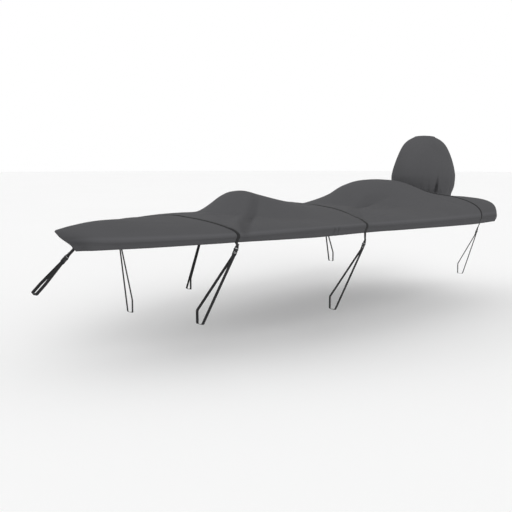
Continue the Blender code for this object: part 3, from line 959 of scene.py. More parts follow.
@dataclass(frozen=True)
class CoatedPolyester(Finish):
    """Solution-dyed polyester, plain woven and coated: matt, with a dry melange of its threads.

    The real threads lie about 0.5 mm apart. They are drawn 3 mm apart, or they would not show.
    Real lockstitches are 4 mm long and are drawn 6 mm long, for the same reason. The folds are
    darkened with painted shade, and a painted highlight lightens the cloth just above the edge
    line.
    """

    name: str = "charcoal_coated_polyester"
    roughness: float = 0.86
    ior: float = 1.46
    specular: float = 0.22
    light: str = "535355"
    dark: str = "4D4D4F"
    thread: str = "3C3C3F"
    # painted shade that darkens the cloth in its folds
    painted_shade_colour: str = "3A3A3C"
    # painted highlight in a band just above the edge line: its colour, strength, place and reach
    edge_wear_and_highlight: str = "606063"
    edge_wear_and_highlight_share: float = 0.36
    edge_highlight_middle: float = -0.016
    edge_highlight_reach: float = 0.024
    thread_spacing: float = 0.003
    depth: float = 0.00035
    weave_tone: float = 0.10
    # scale, detail, roughness and share of the broad fading and of the uneven threads
    patches: tuple[Quad, ...] = ((2.6, 3.0, 0.55, 0.75), (140.0, 2.0, 0.60, 0.25))
    stitch_rows: tuple[tuple[str, float], ...] = (
        ("from_hem", 0.0260), ("from_hem", 0.0060), ("from_edge", 0.0060), ("from_edge", 0.0125),
    )
    stitch_pitch: float = 0.009
    stitch_length: float = 0.66
    stitch_half_width: float = 0.0008
    stitch_relief: float = 2.0
    weave_relief: float = 0.5
    relief: float = 0.55

    def stitches(self, tree: NodeTree) -> NodeSocket:
        """The rows of lockstitch along the hem and the edge line.

        Args:
            tree: the node tree.

        Returns:
            A mask of the stitches.
        """
        along = add_node(tree, "Attribute", {"attribute_name": "along"}, output="Fac")
        count = add_node(tree, "Math", {"operation": "DIVIDE"}, {0: along, 1: self.stitch_pitch})
        phase = add_node(tree, "Math", {"operation": "FRACT"}, {0: count})
        dash = add_node(
            tree, "Math", {"operation": "LESS_THAN"}, {0: phase, 1: self.stitch_length}
        )
        rows = 0.0
        for attribute, distance in self.stitch_rows:
            row = self.band(tree, attribute, distance, self.stitch_half_width)
            rows = add_node(tree, "Math", {"operation": "MAXIMUM"}, {0: rows, 1: row})
        return add_node(tree, "Math", {"operation": "MULTIPLY"}, {0: rows, 1: dash})

    def make(self) -> Material:
        """Builds the material.

        Returns:
            The material.
        """
        made, tree, shader = self.start()
        warp = self.ridges(tree, "along", self.thread_spacing)
        weft = self.ridges(tree, "over", self.thread_spacing)
        weave = add_node(tree, "Math", {"operation": "MULTIPLY"}, {0: warp, 1: weft})
        stitch = self.stitches(tree)
        here = add_node(tree, "TexCoord", output="Object")
        tone = 0.0
        for scale, detail, roughness, share in self.patches:
            noise = add_node(
                tree, "TexNoise", None,
                {"Vector": here, "Scale": scale, "Detail": detail, "Roughness": roughness},
            )
            tone = add_node(
                tree, "Math", {"operation": "MULTIPLY_ADD"}, {0: noise, 1: share, 2: tone}
            )
        tone = add_node(
            tree, "Math", {"operation": "MULTIPLY_ADD"}, {0: weave, 1: self.weave_tone, 2: tone}
        )
        # painted highlight in a band just above the edge line
        edge_wear_and_highlight = self.band(
            tree, "from_edge", self.edge_highlight_middle, self.edge_highlight_reach, self.edge_wear_and_highlight_share
        )
        # painted shade in the folds, read from the cloth's own attribute
        painted_crease_shade = add_node(tree, "Attribute", {"attribute_name": "painted_crease_shade"}, output="Fac")
        height = 0.0
        for raised, share in ((weave, self.weave_relief), (stitch, self.stitch_relief)):
            height = add_node(
                tree, "Math", {"operation": "MULTIPLY_ADD"}, {0: raised, 1: share, 2: height}
            )
        tints = (
            (tone, self.light), (edge_wear_and_highlight, self.edge_wear_and_highlight), (painted_crease_shade, self.painted_shade_colour),
            (stitch, self.thread),
        )
        self.dress(tree, shader, self.dark, tints, height)
        return made


@dataclass(frozen=True)
class PolypropyleneWebbing(Finish):
    """Black polypropylene webbing: flat ribs across it and cords along it, a little waxy.

    The real ribs lie 1.3 mm apart and are drawn 2 mm apart, or they would not show.
    """

    name: str = "black_polypropylene_webbing"
    roughness: float = 0.58
    ior: float = 1.49
    specular: float = 0.40
    light: str = "1B1B1E"
    dark: str = "0B0B0C"
    rib_spacing: float = 0.002
    cord_spacing: float = 0.0025
    rib_share: float = 0.35
    tone_share: float = 0.28
    tone_middle: float = 0.5
    relief: float = 0.8
    depth: float = 0.0004

    def make(self) -> Material:
        """Builds the material.

        Returns:
            The material.
        """
        made, tree, shader = self.start()
        ribs = self.ridges(tree, "along", self.rib_spacing)
        cords = self.ridges(tree, "over", self.cord_spacing)
        weave = add_node(tree, "Math", {"operation": "MULTIPLY"}, {0: ribs, 1: cords})
        height = add_node(
            tree, "Math", {"operation": "MULTIPLY_ADD"}, {0: ribs, 1: self.rib_share, 2: weave}
        )
        tone = add_node(
            tree, "Math", {"operation": "MULTIPLY_ADD"},
            {0: height, 1: self.tone_share, 2: self.tone_middle},
        )
        self.dress(tree, shader, self.dark, [(tone, self.light)], height)
        return made


@dataclass(frozen=True)
class MottledFinish(Finish):
    """A finish of one colour, a little uneven."""

    light: str = "FFFFFF"
    dark: str = "FFFFFF"
    scale: float = 1.0
    detail: float = 1.0

    def make(self) -> Material:
        """Builds the material.

        Returns:
            The material.
        """
        made, tree, shader = self.start()
        here = add_node(tree, "TexCoord", output="Object")
        noise = add_node(
            tree, "TexNoise", None, {"Vector": here, "Scale": self.scale, "Detail": self.detail}
        )
        self.dress(tree, shader, self.dark, [(noise, self.light)])
        return made


@dataclass(frozen=True)
class SewingThread(MottledFinish):
    """Bonded polyester thread: black, with a paler and a darker turn of its twist."""

    name: str = "black_bonded_thread"
    roughness: float = 0.5
    specular: float = 0.45
    light: str = "2E2E32"
    dark: str = "222226"
    scale: float = 1800.0


@dataclass(frozen=True)
class PaleFloor(MottledFinish):
    """Smooth painted studio floor, matt and almost white."""

    name: str = "pale_studio_floor"
    roughness: float = 1.0
    specular: float = 0.0
    light: str = "FDFDFD"
    dark: str = "FBFBFB"
    scale: float = 0.3


@dataclass(frozen=True)
class MouldedAcetal(Finish):
    """Injection-moulded black acetal: satin, with a fine spark-eroded grain and edges worn pale.
    """

    name: str = "black_moulded_acetal"
    roughness: float = 0.40
    ior: float = 1.48
    specular: float = 0.5
    colour: str = "161618"
    # on the buckle this is wear, not light: the colour of its most pointed edges, and how strongly
    # it shows
    edge_wear_and_highlight: str = "38383B"
    edge_wear_and_highlight_share: float = 0.6
    # how pointed an edge is where its wear starts, and where it is most of all
    rubbed_from: float = 0.52
    rubbed_to: float = 0.62
    grain: float = 1400.0
    grain_detail: float = 2.0
    grain_roughness: Pair = (0.34, 0.48)
    relief: float = 0.35
    depth: float = 0.0001

    def make(self) -> Material:
        """Builds the material.

        Returns:
            The material.
        """
        made, tree, shader = self.start()
        here = add_node(tree, "TexCoord", output="Object")
        grain = add_node(
            tree, "TexNoise", None,
            {"Vector": here, "Scale": self.grain, "Detail": self.grain_detail},
        )
        edge = add_node(tree, "NewGeometry", output="Pointiness")
        wear = add_node(
            tree, "MapRange", None,
            {"Value": edge, "From Min": self.rubbed_from, "From Max": self.rubbed_to,
             "To Max": self.edge_wear_and_highlight_share},
        )
        smooth, rough = self.grain_roughness
        matt = add_node(
            tree, "MapRange", None, {"Value": grain, "To Min": smooth, "To Max": rough}
        )
        tree.links.new(matt, shader.inputs["Roughness"])
        self.dress(tree, shader, self.colour, [(wear, self.edge_wear_and_highlight)], grain)
        return made


class Lattice:
    """A sheet of quads that starts as a bmesh grid and is laid over a shape row by row."""

    # the last layer holds the painted shade of the folds
    LAYERS = ("along", "over", "from_hem", "from_edge", "painted_crease_shade")

    def __init__(self, rows: int, columns: int) -> None:
        """Makes the grid.

        Args:
            rows: number of rows of points.
            columns: number of points in a row.
        """
        self.mesh = bmesh.new()
        self.rows, self.columns = rows, columns
        bmesh.ops.create_grid(
            self.mesh, x_segments=rows - 1, y_segments=columns - 1, size=1.0
        )
        for name in self.LAYERS:
            self.mesh.verts.layers.float.new(name)
        self.seat: dict[tuple[int, int], BMVert] = {}
        for vertex in self.mesh.verts:
            row = round((vertex.co.x + 1) * (rows - 1) / 2)
            column = round((vertex.co.y + 1) * (columns - 1) / 2)
            self.seat[(row, column)] = vertex

    def layer(self, name: str) -> BMLayerItem:
        """The float layer of that name on the points."""
        return self.mesh.verts.layers.float[name]

    def lay(self, point_at: Callable[[int, int], Vector]) -> None:
        """Moves each point to its place and measures the sheet along and over its middle.

        Args:
            point_at: gives a point from its row and column.
        """
        for (row, column), vertex in self.seat.items():
            vertex.co = point_at(row, column)
        along, over = self.layer("along"), self.layer("over")
        middle = self.columns // 2
        gone = 0.0
        for row in range(self.rows):
            if row:
                gone += (self.seat[(row, middle)].co - self.seat[(row - 1, middle)].co).length
            points = [self.seat[(row, column)] for column in range(self.columns)]
            across = 0.0
            for before, vertex in zip([points[0], *points], points):
                across += (vertex.co - before.co).length
                vertex[along], vertex[over] = gone, across
            centre = points[middle][over]
            for vertex in points:
                vertex[over] -= centre


def new_points(made: dict[str, list]) -> list[BMVert]:
    """The points among what an extrusion made."""
    return [item for item in made["geom"] if isinstance(item, BMVert)]


def face_outwards(sheet: BMesh) -> None:
    """Turns a domed sheet's faces out, so that its highest one looks up.

    Args:
        sheet: the sheet's bmesh.
    """
    bmesh.ops.recalc_face_normals(sheet, faces=sheet.faces)
    highest = max(sheet.faces, key=lambda face: face.calc_center_median().z)
    if highest.normal.z < 0:
        bmesh.ops.reverse_faces(sheet, faces=sheet.faces)


def finish_piece(
    mesh_maker: BMesh,
    name: str,
    finish: Material,
    replaces: Iterable[str] = (),
    sharp_degrees: float = 60.0,
) -> Object:
    """Makes the object of a finished bmesh, and gives it its body, slot and stand-in.

    Args:
        mesh_maker: the piece's bmesh, with its place in its points.
        name: the piece's name.
        finish: its material.
        replaces: CAD nodes that it stands for.
        sharp_degrees: edges that turn more than this are shaded sharp.

    Returns:
        The linked object.
    """
    mesh = bpy.data.meshes.new(name)
    mesh_maker.to_mesh(mesh)
    mesh_maker.free()
    mesh.materials.append(finish)
    mesh.shade_smooth()
    mesh.set_sharp_from_angle(angle=math.radians(sharp_degrees))
    made = bpy.data.objects.new(name, mesh)
    bpy.context.scene.collection.objects.link(made)
    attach(made, BODY)
    if replaces:
        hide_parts(*replaces)
    LOG.info("%s: %d faces", name, len(mesh.polygons))
    return made


def thicken(piece: Object, thickness: float, offset: float) -> None:
    """Gives a sheet its thickness.

    Args:
        piece: the sheet.
        thickness: how thick it gets.
        offset: -1 to grow inwards, 1 outwards, 0 both ways.
    """
    solidify = piece.modifiers.new("thickness", "SOLIDIFY")
    solidify.thickness = thickness
    solidify.offset = offset
    solidify.use_even_offset = False


class RingFrom(Enum):
    """What a ring of the skirt is placed from."""

    EDGE = "metres below the edge line"
    SHARE = "share of the drop"
    HEM = "metres above the hem"


@dataclass(frozen=True)
class Ring:
    """A ring of the skirt: how far it is from what it is placed from, and off the cloth."""

    start: RingFrom
    distance: float
    out: float = 0.0

    def drop(self, full: float) -> float:
        """Share of the skirt's drop at which the ring lies.

        Args:
            full: metres from the edge line down to the hem.

        Returns:
            The share, from 0 at the edge line to 1 at the hem.
        """
        if self.start is RingFrom.SHARE:
            return self.distance
        share = self.distance / full
        return share if self.start is RingFrom.EDGE else 1 - share


# The skirt's rings: the seam's double fold, two over the open cloth, and the hem.
SKIRT_RINGS = (
    Ring(RingFrom.EDGE, 0.0025), Ring(RingFrom.EDGE, 0.0038, 0.0009),
    Ring(RingFrom.EDGE, 0.0146, 0.0009), Ring(RingFrom.EDGE, 0.0160),
    Ring(RingFrom.SHARE, 0.33), Ring(RingFrom.SHARE, 0.48),
    Ring(RingFrom.HEM, 0.0310), Ring(RingFrom.HEM, 0.0298, 0.0009),
    Ring(RingFrom.HEM, 0.0150, 0.0010), Ring(RingFrom.HEM, 0.0015, 0.0008),
    Ring(RingFrom.HEM, 0.0, -0.0002),
)


@dataclass(frozen=True)
class SkirtPoint:
    """A point of a ring of the skirt, and where it lies in the cloth."""

    place: Vector
    along: float
    from_hem: float
    from_edge: float


@dataclass
class FittedCover:
    """The cover itself: one cloth for its top, side skirts, stern skirt and hem."""

    shape: CoverShape
    half_columns: int = 70
    crowding: float = 1.6
    # rows lie closer at the bow, under the straps and in the folds
    row_spans: tuple[Span, ...] = (
        (0.00, 0.016, 4), (0.016, 0.05, 2), (0.05, 0.35, 15), (0.35, 1.12, 30),
        (1.12, 1.15, 2), (1.15, 1.18, 2), (1.18, 1.21, 2), (1.21, 1.50, 16), (1.50, 2.12, 46),
        (2.12, 2.28, 20), (2.28, 2.60, 14), (2.60, 2.915, 13), (2.915, 2.945, 2),
        (2.945, 2.975, 2), (2.975, 3.005, 2), (3.005, 3.90, 37), (3.90, 4.55, 32),
        (4.55, 4.745, 9), (4.745, 4.775, 2), (4.775, 4.805, 2), (4.805, 4.835, 2),
        (4.835, 5.20, 20),
    )
    # share of the painted fold shade that each ring of the skirt keeps from the one above, and the
    # painted shade in the two puckers
    crease_carry: float = 0.9
    pucker_shade: float = 0.32
    mouth_margin: float = 0.02
    mouth_reach: float = 0.012
    merge_distance: float = 1e-5
    centre_reach: float = 1e-4
    flat_size: Pair = (2.5, 5.5)
    flat_area: float = 10.2

    @cached_property
    def stations(self) -> list[float]:
        """Stations of the grid's rows."""
        return spaced(self.row_spans)

    @cached_property
    def shares(self) -> list[float]:
        """Shares of the half width for the grid's columns."""
        return crowded_shares(self.half_columns, self.crowding)

    def side_spot(self, ring: Ring, side: Side, station: float) -> SkirtPoint:
        """A point of a ring on a side skirt.

        Args:
            ring: the ring.
            side: port or starboard.
            station: the row's station.

        Returns:
            The point.
        """
        skirt = self.shape.skirt
        full = skirt(station, side, 0.0).z - skirt(station, side, 1.0).z
        drop = ring.drop(full)
        point = skirt(station, side, drop)
        if abs(point.y) > self.centre_reach:
            point.y += side.value * ring.out
        return SkirtPoint(point, station, full * (1 - drop), full * drop)

    def stern_spot(self, ring: Ring, share: float) -> SkirtPoint:
        """A point of a ring on the stern skirt.

        Args:
            ring: the ring.
            share: -1 to 1 from port to starboard.

        Returns:
            The point.
        """
        stern = self.shape.stern
        full = stern(share, 0.0).z - stern(share, 1.0).z
        drop = ring.drop(full)
        corner = abs(share) ** self.shape.stern_square
        outward = Vector((1 - corner, math.copysign(corner, share), 0)).normalized()
        point = stern(share, drop) + outward * ring.out
        along = self.shape.stern_station + 1.0 - abs(share)
        return SkirtPoint(point, along, full * (1 - drop), full * drop)

    def ring_spots(self, ring: Ring) -> list[SkirtPoint]:
        """The points of a ring.

        Args:
            ring: the ring.

        Returns:
            Them from the stem down the port side, over the stern and back to the stem.
        """
        forward = self.stations[:-1]
        port = [self.side_spot(ring, Side.PORT, station) for station in forward]
        stern = [self.stern_spot(ring, share) for share in self.shares]
        starboard = [self.side_spot(ring, Side.STARBOARD, s) for s in reversed(forward[1:])]
        return [*port, *stern, *starboard, port[0]]

    def cut_mouth(self, sheet: BMesh) -> None:
        """Opens the cloth where the hood stands, on an even line.

        Args:
            sheet: the cover's bmesh.
        """
        shape = self.shape
        power = shape.hood_square
        half_length, half_width = (half * shape.seat_girth for half in shape.hood_half)
        for vertex in sheet.verts:
            station, across = vertex.co.x + ORIGIN_STATION, vertex.co.y
            if station < shape.hood_centre - half_length - self.mouth_margin:
                continue
            if abs(shape.hood_distance(station, across)) > self.mouth_reach:
                continue
            u, v = (station - shape.hood_centre) / half_length, across / half_width
            if station < shape.stern_station - self.mouth_margin:
                size = (abs(u) ** power + abs(v) ** power) ** (1 / power)
                vertex.co.x = shape.hood_centre + u / size * half_length - ORIGIN_STATION
                vertex.co.y = v / size * half_width
            else:
                side = (1 - min(abs(u), 1.0) ** power) ** (1 / power)
                vertex.co.y = math.copysign(side * half_width, across)
        middles = {face: face.calc_center_median() for face in sheet.faces}
        inside = [
            face for face, middle in middles.items()
            if middle.x + ORIGIN_STATION > shape.hood_centre - half_length
            and shape.hood_distance(middle.x + ORIGIN_STATION, middle.y) < 0
        ]
        bmesh.ops.delete(sheet, geom=inside, context="FACES")

    def grow_skirt(self, lattice: Lattice) -> None:
        """Extrudes the skirt from the top's rim, ring by ring, and measures it.

        Args:
            lattice: the laid top.
        """
        sheet, seat = lattice.mesh, lattice.seat
        along, over, from_hem, from_edge, painted_crease_shade = map(lattice.layer, lattice.LAYERS)
        last_row, last_column = lattice.rows - 1, lattice.columns - 1
        previous = [seat[(row, 0)] for row in range(last_row)]
        previous += [seat[(last_row, column)] for column in range(last_column + 1)]
        previous += [seat[(row, last_column)] for row in range(last_row - 1, -1, -1)]
        bmesh.ops.remove_doubles(
            sheet, verts=[seat[(0, column)] for column in range(last_column + 1)], dist=0.0
        )
        for ring in SKIRT_RINGS:
            edges = [sheet.edges.get(pair) for pair in zip(previous, previous[1:])]
            grown = new_points(bmesh.ops.extrude_edge_only(sheet, edges=edges))
            fresh = self.twins(previous, set(grown))
            for vertex, spot, above in zip(fresh, self.ring_spots(ring), previous):
                vertex.co = spot.place
                vertex[along] = spot.along
                vertex[from_hem], vertex[from_edge] = spot.from_hem, spot.from_edge
                step = (spot.place - above.co).length
                vertex[over] = above[over] + math.copysign(step, above[over] or 1.0)
                # painted shade, carried down the skirt from the top's folds and laid in the
                # puckers
                vertex[painted_crease_shade] = max(
                    self.crease_carry * above[painted_crease_shade],
                    self.pucker_shade * self.shape.puckered(spot.along),
                )
            previous = fresh

    @staticmethod
    def twins(
        old: list[BMVert], new: set[BMVert]
    ) -> list[BMVert]:
        """The new point below each old one, after an extrusion of a chain of edges.

        Args:
            old: the chain's points in order.
            new: the points that the extrusion made.

        Returns:
            The new points in the same order.
        """
        found = []
        for vertex in old:
            others = (edge.other_vert(vertex) for edge in vertex.link_edges)
            found.append(next(other for other in others if other in new))
        return found

    def build(self, finish: Material) -> Object:
        """Args:
            finish: the cloth's material.

        Returns:
            The cover's object.
        """
        stations, shares = self.stations, self.shares
        lattice = Lattice(len(stations), len(shares))
        lattice.lay(lambda row, column: self.shape.top(stations[row], shares[column]))
        sheet, seat = lattice.mesh, lattice.seat
        _, over, from_hem, from_edge, painted_crease_shade = map(lattice.layer, lattice.LAYERS)
        for (row, column), vertex in seat.items():
            edge = seat[(row, 0 if column < self.half_columns else len(shares) - 1)]
            vertex[from_hem] = FAR_OFF
            vertex[from_edge] = -abs(vertex[over] - edge[over])
            # painted shade in the folds of the top
            vertex[painted_crease_shade] = self.shape.painted_crease_shade(stations[row], shares[column])
        self.grow_skirt(lattice)
        bmesh.ops.remove_doubles(sheet, verts=sheet.verts, dist=self.merge_distance)
        self.cut_mouth(sheet)
        face_outwards(sheet)
        cover = finish_piece(sheet, "fitted_cover", finish, ["cover_body"])
        thicken(cover, CLOTH, -1)
        return cover


@dataclass(frozen=True)
class HoodFold:
    """An upright fold of the hood. A negative depth makes a ridge.

    Angles are in radians round the hood, 0 aft and a quarter turn to port. The forward half is
    the side of growing angle. A fold leans from its foot to its head, and narrows and fades up.
    """

    foot_angle: float
    head_angle: float
    depth: float
    forward_half: float
    aft_half: float
    foot: float
    head: float
    narrowing: float = 0.35
    foot_fade: float = 0.0
    head_fade: float = 0.9
    # painted shade laid in the fold
    shade: float = 0.0

    def draw(self, angle: float, height: float) -> float:
        """How far the fold draws the cloth in at an angle and a height."""
        return self.depth * self.strength(angle, height)

    def strength(self, angle: float, height: float) -> float:
        """How strong the fold is at a place on the hood's side.

        Args:
            angle: angle round the hood.
            height: height over the ground.

        Returns:
            The strength, up to 1.
        """
        up = (height - self.foot) / (self.head - self.foot)
        if up >= 1.0:
            return 0.0
        up = max(up, 0.0)
        centre = self.foot_angle + (self.head_angle - self.foot_angle) * up
        away = (angle - centre + math.pi) % (2 * math.pi) - math.pi
        half = self.forward_half if away > 0 else self.aft_half
        half *= 1 + (self.narrowing - 1) * up
        strength = smoothstep((1 - up) / self.head_fade)
        if self.foot_fade:
            strength *= smoothstep(up / self.foot_fade)
        return soft_hump(away, half) * strength


# The values are in the order of HoodFold's fields.
HOOD_FOLDS = (
    # port side: the deep pleat with its ridge, the long valley above it, and lesser gathers
    HoodFold(2.09, 1.98, 0.052, 0.165, 0.085, 1.06, 1.40, 0.25, 0.0, 0.75, 0.6),
    HoodFold(1.86, 1.86, -0.016, 0.090, 0.110, 1.06, 1.36, 0.8),
    HoodFold(1.96, 2.02, 0.010, 0.520, 0.230, 1.20, 1.79, 1.0, 0.25, 0.30),
    HoodFold(2.34, 2.36, 0.014, 0.090, 0.090, 1.06, 1.36),
    HoodFold(2.49, 2.50, -0.012, 0.075, 0.075, 1.06, 1.37, 0.8),
    HoodFold(2.65, 2.62, 0.012, 0.095, 0.095, 1.06, 1.31),
    HoodFold(2.93, 2.86, 0.007, 0.110, 0.110, 1.06, 1.30),
    HoodFold(1.46, 1.50, 0.013, 0.130, 0.110, 1.06, 1.44, 0.6),
    HoodFold(1.10, 1.04, 0.010, 0.120, 0.120, 1.06, 1.38, 0.6),
    # aft, over the stern
    HoodFold(0.62, 0.60, 0.026, 0.130, 0.120, 1.06, 1.42, 0.6),
    HoodFold(0.08, 0.04, 0.014, 0.110, 0.130, 1.06, 1.34, 0.6),
    HoodFold(-0.62, -0.55, 0.020, 0.140, 0.130, 1.06, 1.40, 0.6),
    # starboard side
    HoodFold(-1.12, -1.08, 0.011, 0.110, 0.120, 1.06, 1.36, 0.6),
    HoodFold(-1.62, -1.66, 0.017, 0.110, 0.090, 1.06, 1.38),
    HoodFold(-1.84, -1.84, -0.008, 0.080, 0.090, 1.06, 1.35, 0.8),
    HoodFold(-2.04, -1.98, 0.024, 0.090, 0.120, 1.06, 1.33),
    HoodFold(-1.95, -2.05, 0.007, 0.240, 0.480, 1.22, 1.78, 1.0, 0.25, 0.30),
    HoodFold(-2.47, -2.44, 0.009, 0.090, 0.090, 1.06, 1.32),
    HoodFold(-2.86, -2.90, 0.008, 0.110, 0.110, 1.06, 1.33),
)


@dataclass
class MotorHood:
    """The raised hood at the stern."""

    shape: CoverShape
    sides: int = 300
    # height and girth of the rings that its profile runs through; girth is a share of its plan
    rings: tuple[Pair, ...] = (
        (1.205, 0.992), (1.260, 1.010), (1.320, 1.018), (1.400, 0.986), (1.480, 0.927),
        (1.560, 0.850), (1.640, 0.756), (1.703, 0.650), (1.751, 0.506), (1.782, 0.345),
        (1.794, 0.285), (1.801, 0.150), (1.804, 0.000),
    )
    # the rings above the shoulder, between which the crown's rows are placed by girth
    crown_rings: int = 5
    heights: tuple[Span, ...] = ((1.205, 1.44, 20), (1.44, 1.782, 22))
    crown_girths: tuple[float, ...] = (
        0.328, 0.312, 0.304, 0.296, 0.288, 0.272, 0.240, 0.200, 0.150, 0.100, 0.050,
    )
    cap_seam_girth: float = 0.300
    cap_seam_half: float = 0.022
    cap_seam_lift: float = 0.0014
    # slow unevenness: depth, waves round the hood, phase for each metre of height, and start
    wanders: tuple[Quad, ...] = ((0.0016, 3, 9, 0.0), (0.0012, 5, -13, 1.2))
    rim_rows: int = 8
    rim_front: float = 1.140
    rim_back: float = 1.065
    # share of the folds at the rim, and share of the rise to the first ring that frees them
    rim_folds: float = 0.30
    rim_folds_rise: float = 0.6
    back_draw: float = 0.150
    crown_above: float = 1.7
    merge_distance: float = 1e-6
    flat_size: Pair = (1.9, 0.95)
    flat_area: float = 1.6

    def outline(self, angle: float, girth: float, height: float) -> Vector:
        """A point of a ring.

        Args:
            angle: angle round the hood, 0 aft and a quarter turn to port.
            girth: the ring's size, as a share of the hood's plan.
            height: height over the ground.

        Returns:
            The point.
        """
        cosine, sine = math.cos(angle), math.sin(angle)
        power = 2 / self.shape.hood_square
        along = math.copysign(abs(cosine) ** power, cosine) * self.shape.hood_half[0]
        out = math.copysign(abs(sine) ** power, sine) * self.shape.hood_half[1]
        return place(self.shape.hood_centre + along * girth, -out * girth, height)

    def folded(self, angle: float, height: float) -> float:
        """How far folds and slow unevenness draw the cloth in, as a share of the half length.

        Args:
            angle: angle round the hood.
            height: height over the ground.

        Returns:
            The share.
        """
        drawn = sum(fold.draw(angle, height) for fold in HOOD_FOLDS)
        wander = sum(
            depth * math.sin(waves * angle + rise * height + start)
            for depth, waves, rise, start in self.wanders
        )
        return (drawn + wander) / self.shape.hood_half[0]

    def painted_crease_shade(self, angle: float, height: float) -> float:
        """How dark the painted shade in the folds makes the cloth at an angle and a height."""
        return sum(fold.shade * fold.strength(angle, height) for fold in HOOD_FOLDS if fold.shade)

    def side_point(self, angle: float, height: float, girth: float) -> Vector:
        """A point of the hood's side above its rim."""
        return self.outline(angle, girth - self.folded(angle, height), height)

    def rim_point(self, angle: float, share: float) -> Vector:
        """A point between the rim and the first full ring.

        Args:
            angle: angle round the hood.
            share: 0 at the rim and 1 at the ring.

        Returns:
            The point.
        """
        front = 0.5 - 0.5 * math.cos(angle)
        foot = self.rim_back + (self.rim_front - self.rim_back) * front
        height = foot + (self.rings[0][0] - foot) * share
        draw = self.back_draw * smoothstep(1 - 2 * front) * (1 - share)
        seat = self.shape.seat_girth
        girth = seat + (self.rings[0][1] - seat) * smoothstep(share)
        freed = smoothstep(share / self.rim_folds_rise)
        folds = self.rim_folds + (1 - self.rim_folds) * freed
        return self.outline(angle, girth - draw - folds * self.folded(angle, height), height)

    def rows(self) -> list[Callable[[float], Vector]]:
        """For each row from the rim up, what gives its point at an angle.

        Returns:
            One function of the angle for each row.
        """
        girth_at = SmoothTable(*zip(*self.rings))
        crown = sorted((girth, height) for height, girth in self.rings[-self.crown_rings:])
        height_at = SmoothTable(*zip(*crown))
        rows: list[Callable[[float], Vector]] = [
            lambda angle, share=i / self.rim_rows: self.rim_point(angle, share)
            for i in range(self.rim_rows)
        ]
        rows += [
            lambda angle, level=level: self.side_point(angle, level, girth_at.at(level))
            for level in spaced(self.heights)
        ]
        for girth in self.crown_girths:
            seam = soft_hump(girth - self.cap_seam_girth, self.cap_seam_half)
            height = height_at.at(girth) + self.cap_seam_lift * seam
            rows.append(lambda angle, g=girth, h=height: self.outline(angle, g, h))
        return rows

    def close_crown(self, sheet: BMesh) -> None:
        """Closes the hood's top with a fan of faces.

        Args:
            sheet: the hood's bmesh.
        """
        boundary = [
            edge for edge in sheet.edges
            if edge.is_boundary
            and min(v.co.z for v in edge.verts) + ORIGIN_HEIGHT > self.crown_above
        ]
        cap = new_points(bmesh.ops.extrude_edge_only(sheet, edges=boundary))
        crown = place(self.shape.hood_centre, 0, self.rings[-1][0])
        bmesh.ops.pointmerge(sheet, verts=cap, merge_co=crown)

    def build(self, finish: Material) -> Object:
        """Args:
            finish: the cloth's material.

        Returns:
            The hood's object.
        """
        rows = self.rows()
        angles = [2 * math.pi * (turn % self.sides) / self.sides for turn in range(self.sides + 1)]
        lattice = Lattice(len(angles), len(rows))
        lattice.lay(lambda turn, row: rows[row](angles[turn]))
        sheet, seat = lattice.mesh, lattice.seat
        _, _, from_hem, from_edge, painted_crease_shade = map(lattice.layer, lattice.LAYERS)
        gone = 0.0
        for row in range(len(rows)):
            if row:
                gone += (seat[(0, row)].co - seat[(0, row - 1)].co).length
            for turn, angle in enumerate(angles):
                vertex = seat[(turn, row)]
                vertex[from_hem], vertex[from_edge] = gone, FAR_OFF
                # painted shade in the hood's folds
                vertex[painted_crease_shade] = self.painted_crease_shade(angle, vertex.co.z + ORIGIN_HEIGHT)
        bmesh.ops.remove_doubles(sheet, verts=sheet.verts, dist=self.merge_distance)
        self.close_crown(sheet)
        face_outwards(sheet)
        hood = finish_piece(sheet, "hood_over_motor", finish, ["motor_hood"])
        thicken(hood, CLOTH, -1)
        return hood


def band_normal(first: list[Vector], second: list[Vector], row: int) -> Vector:
    """Direction out of a band between two rows of points.

    Args:
        first: points of one edge.
        second: points of the other edge.
        row: which pair of points.

    Returns:
        The direction, one long.
    """
    before, after = max(row - 1, 0), min(row + 1, len(first) - 1)
    along = (first[after] + second[after]) - (first[before] + second[before])
    return (second[row] - first[row]).cross(along).normalized()


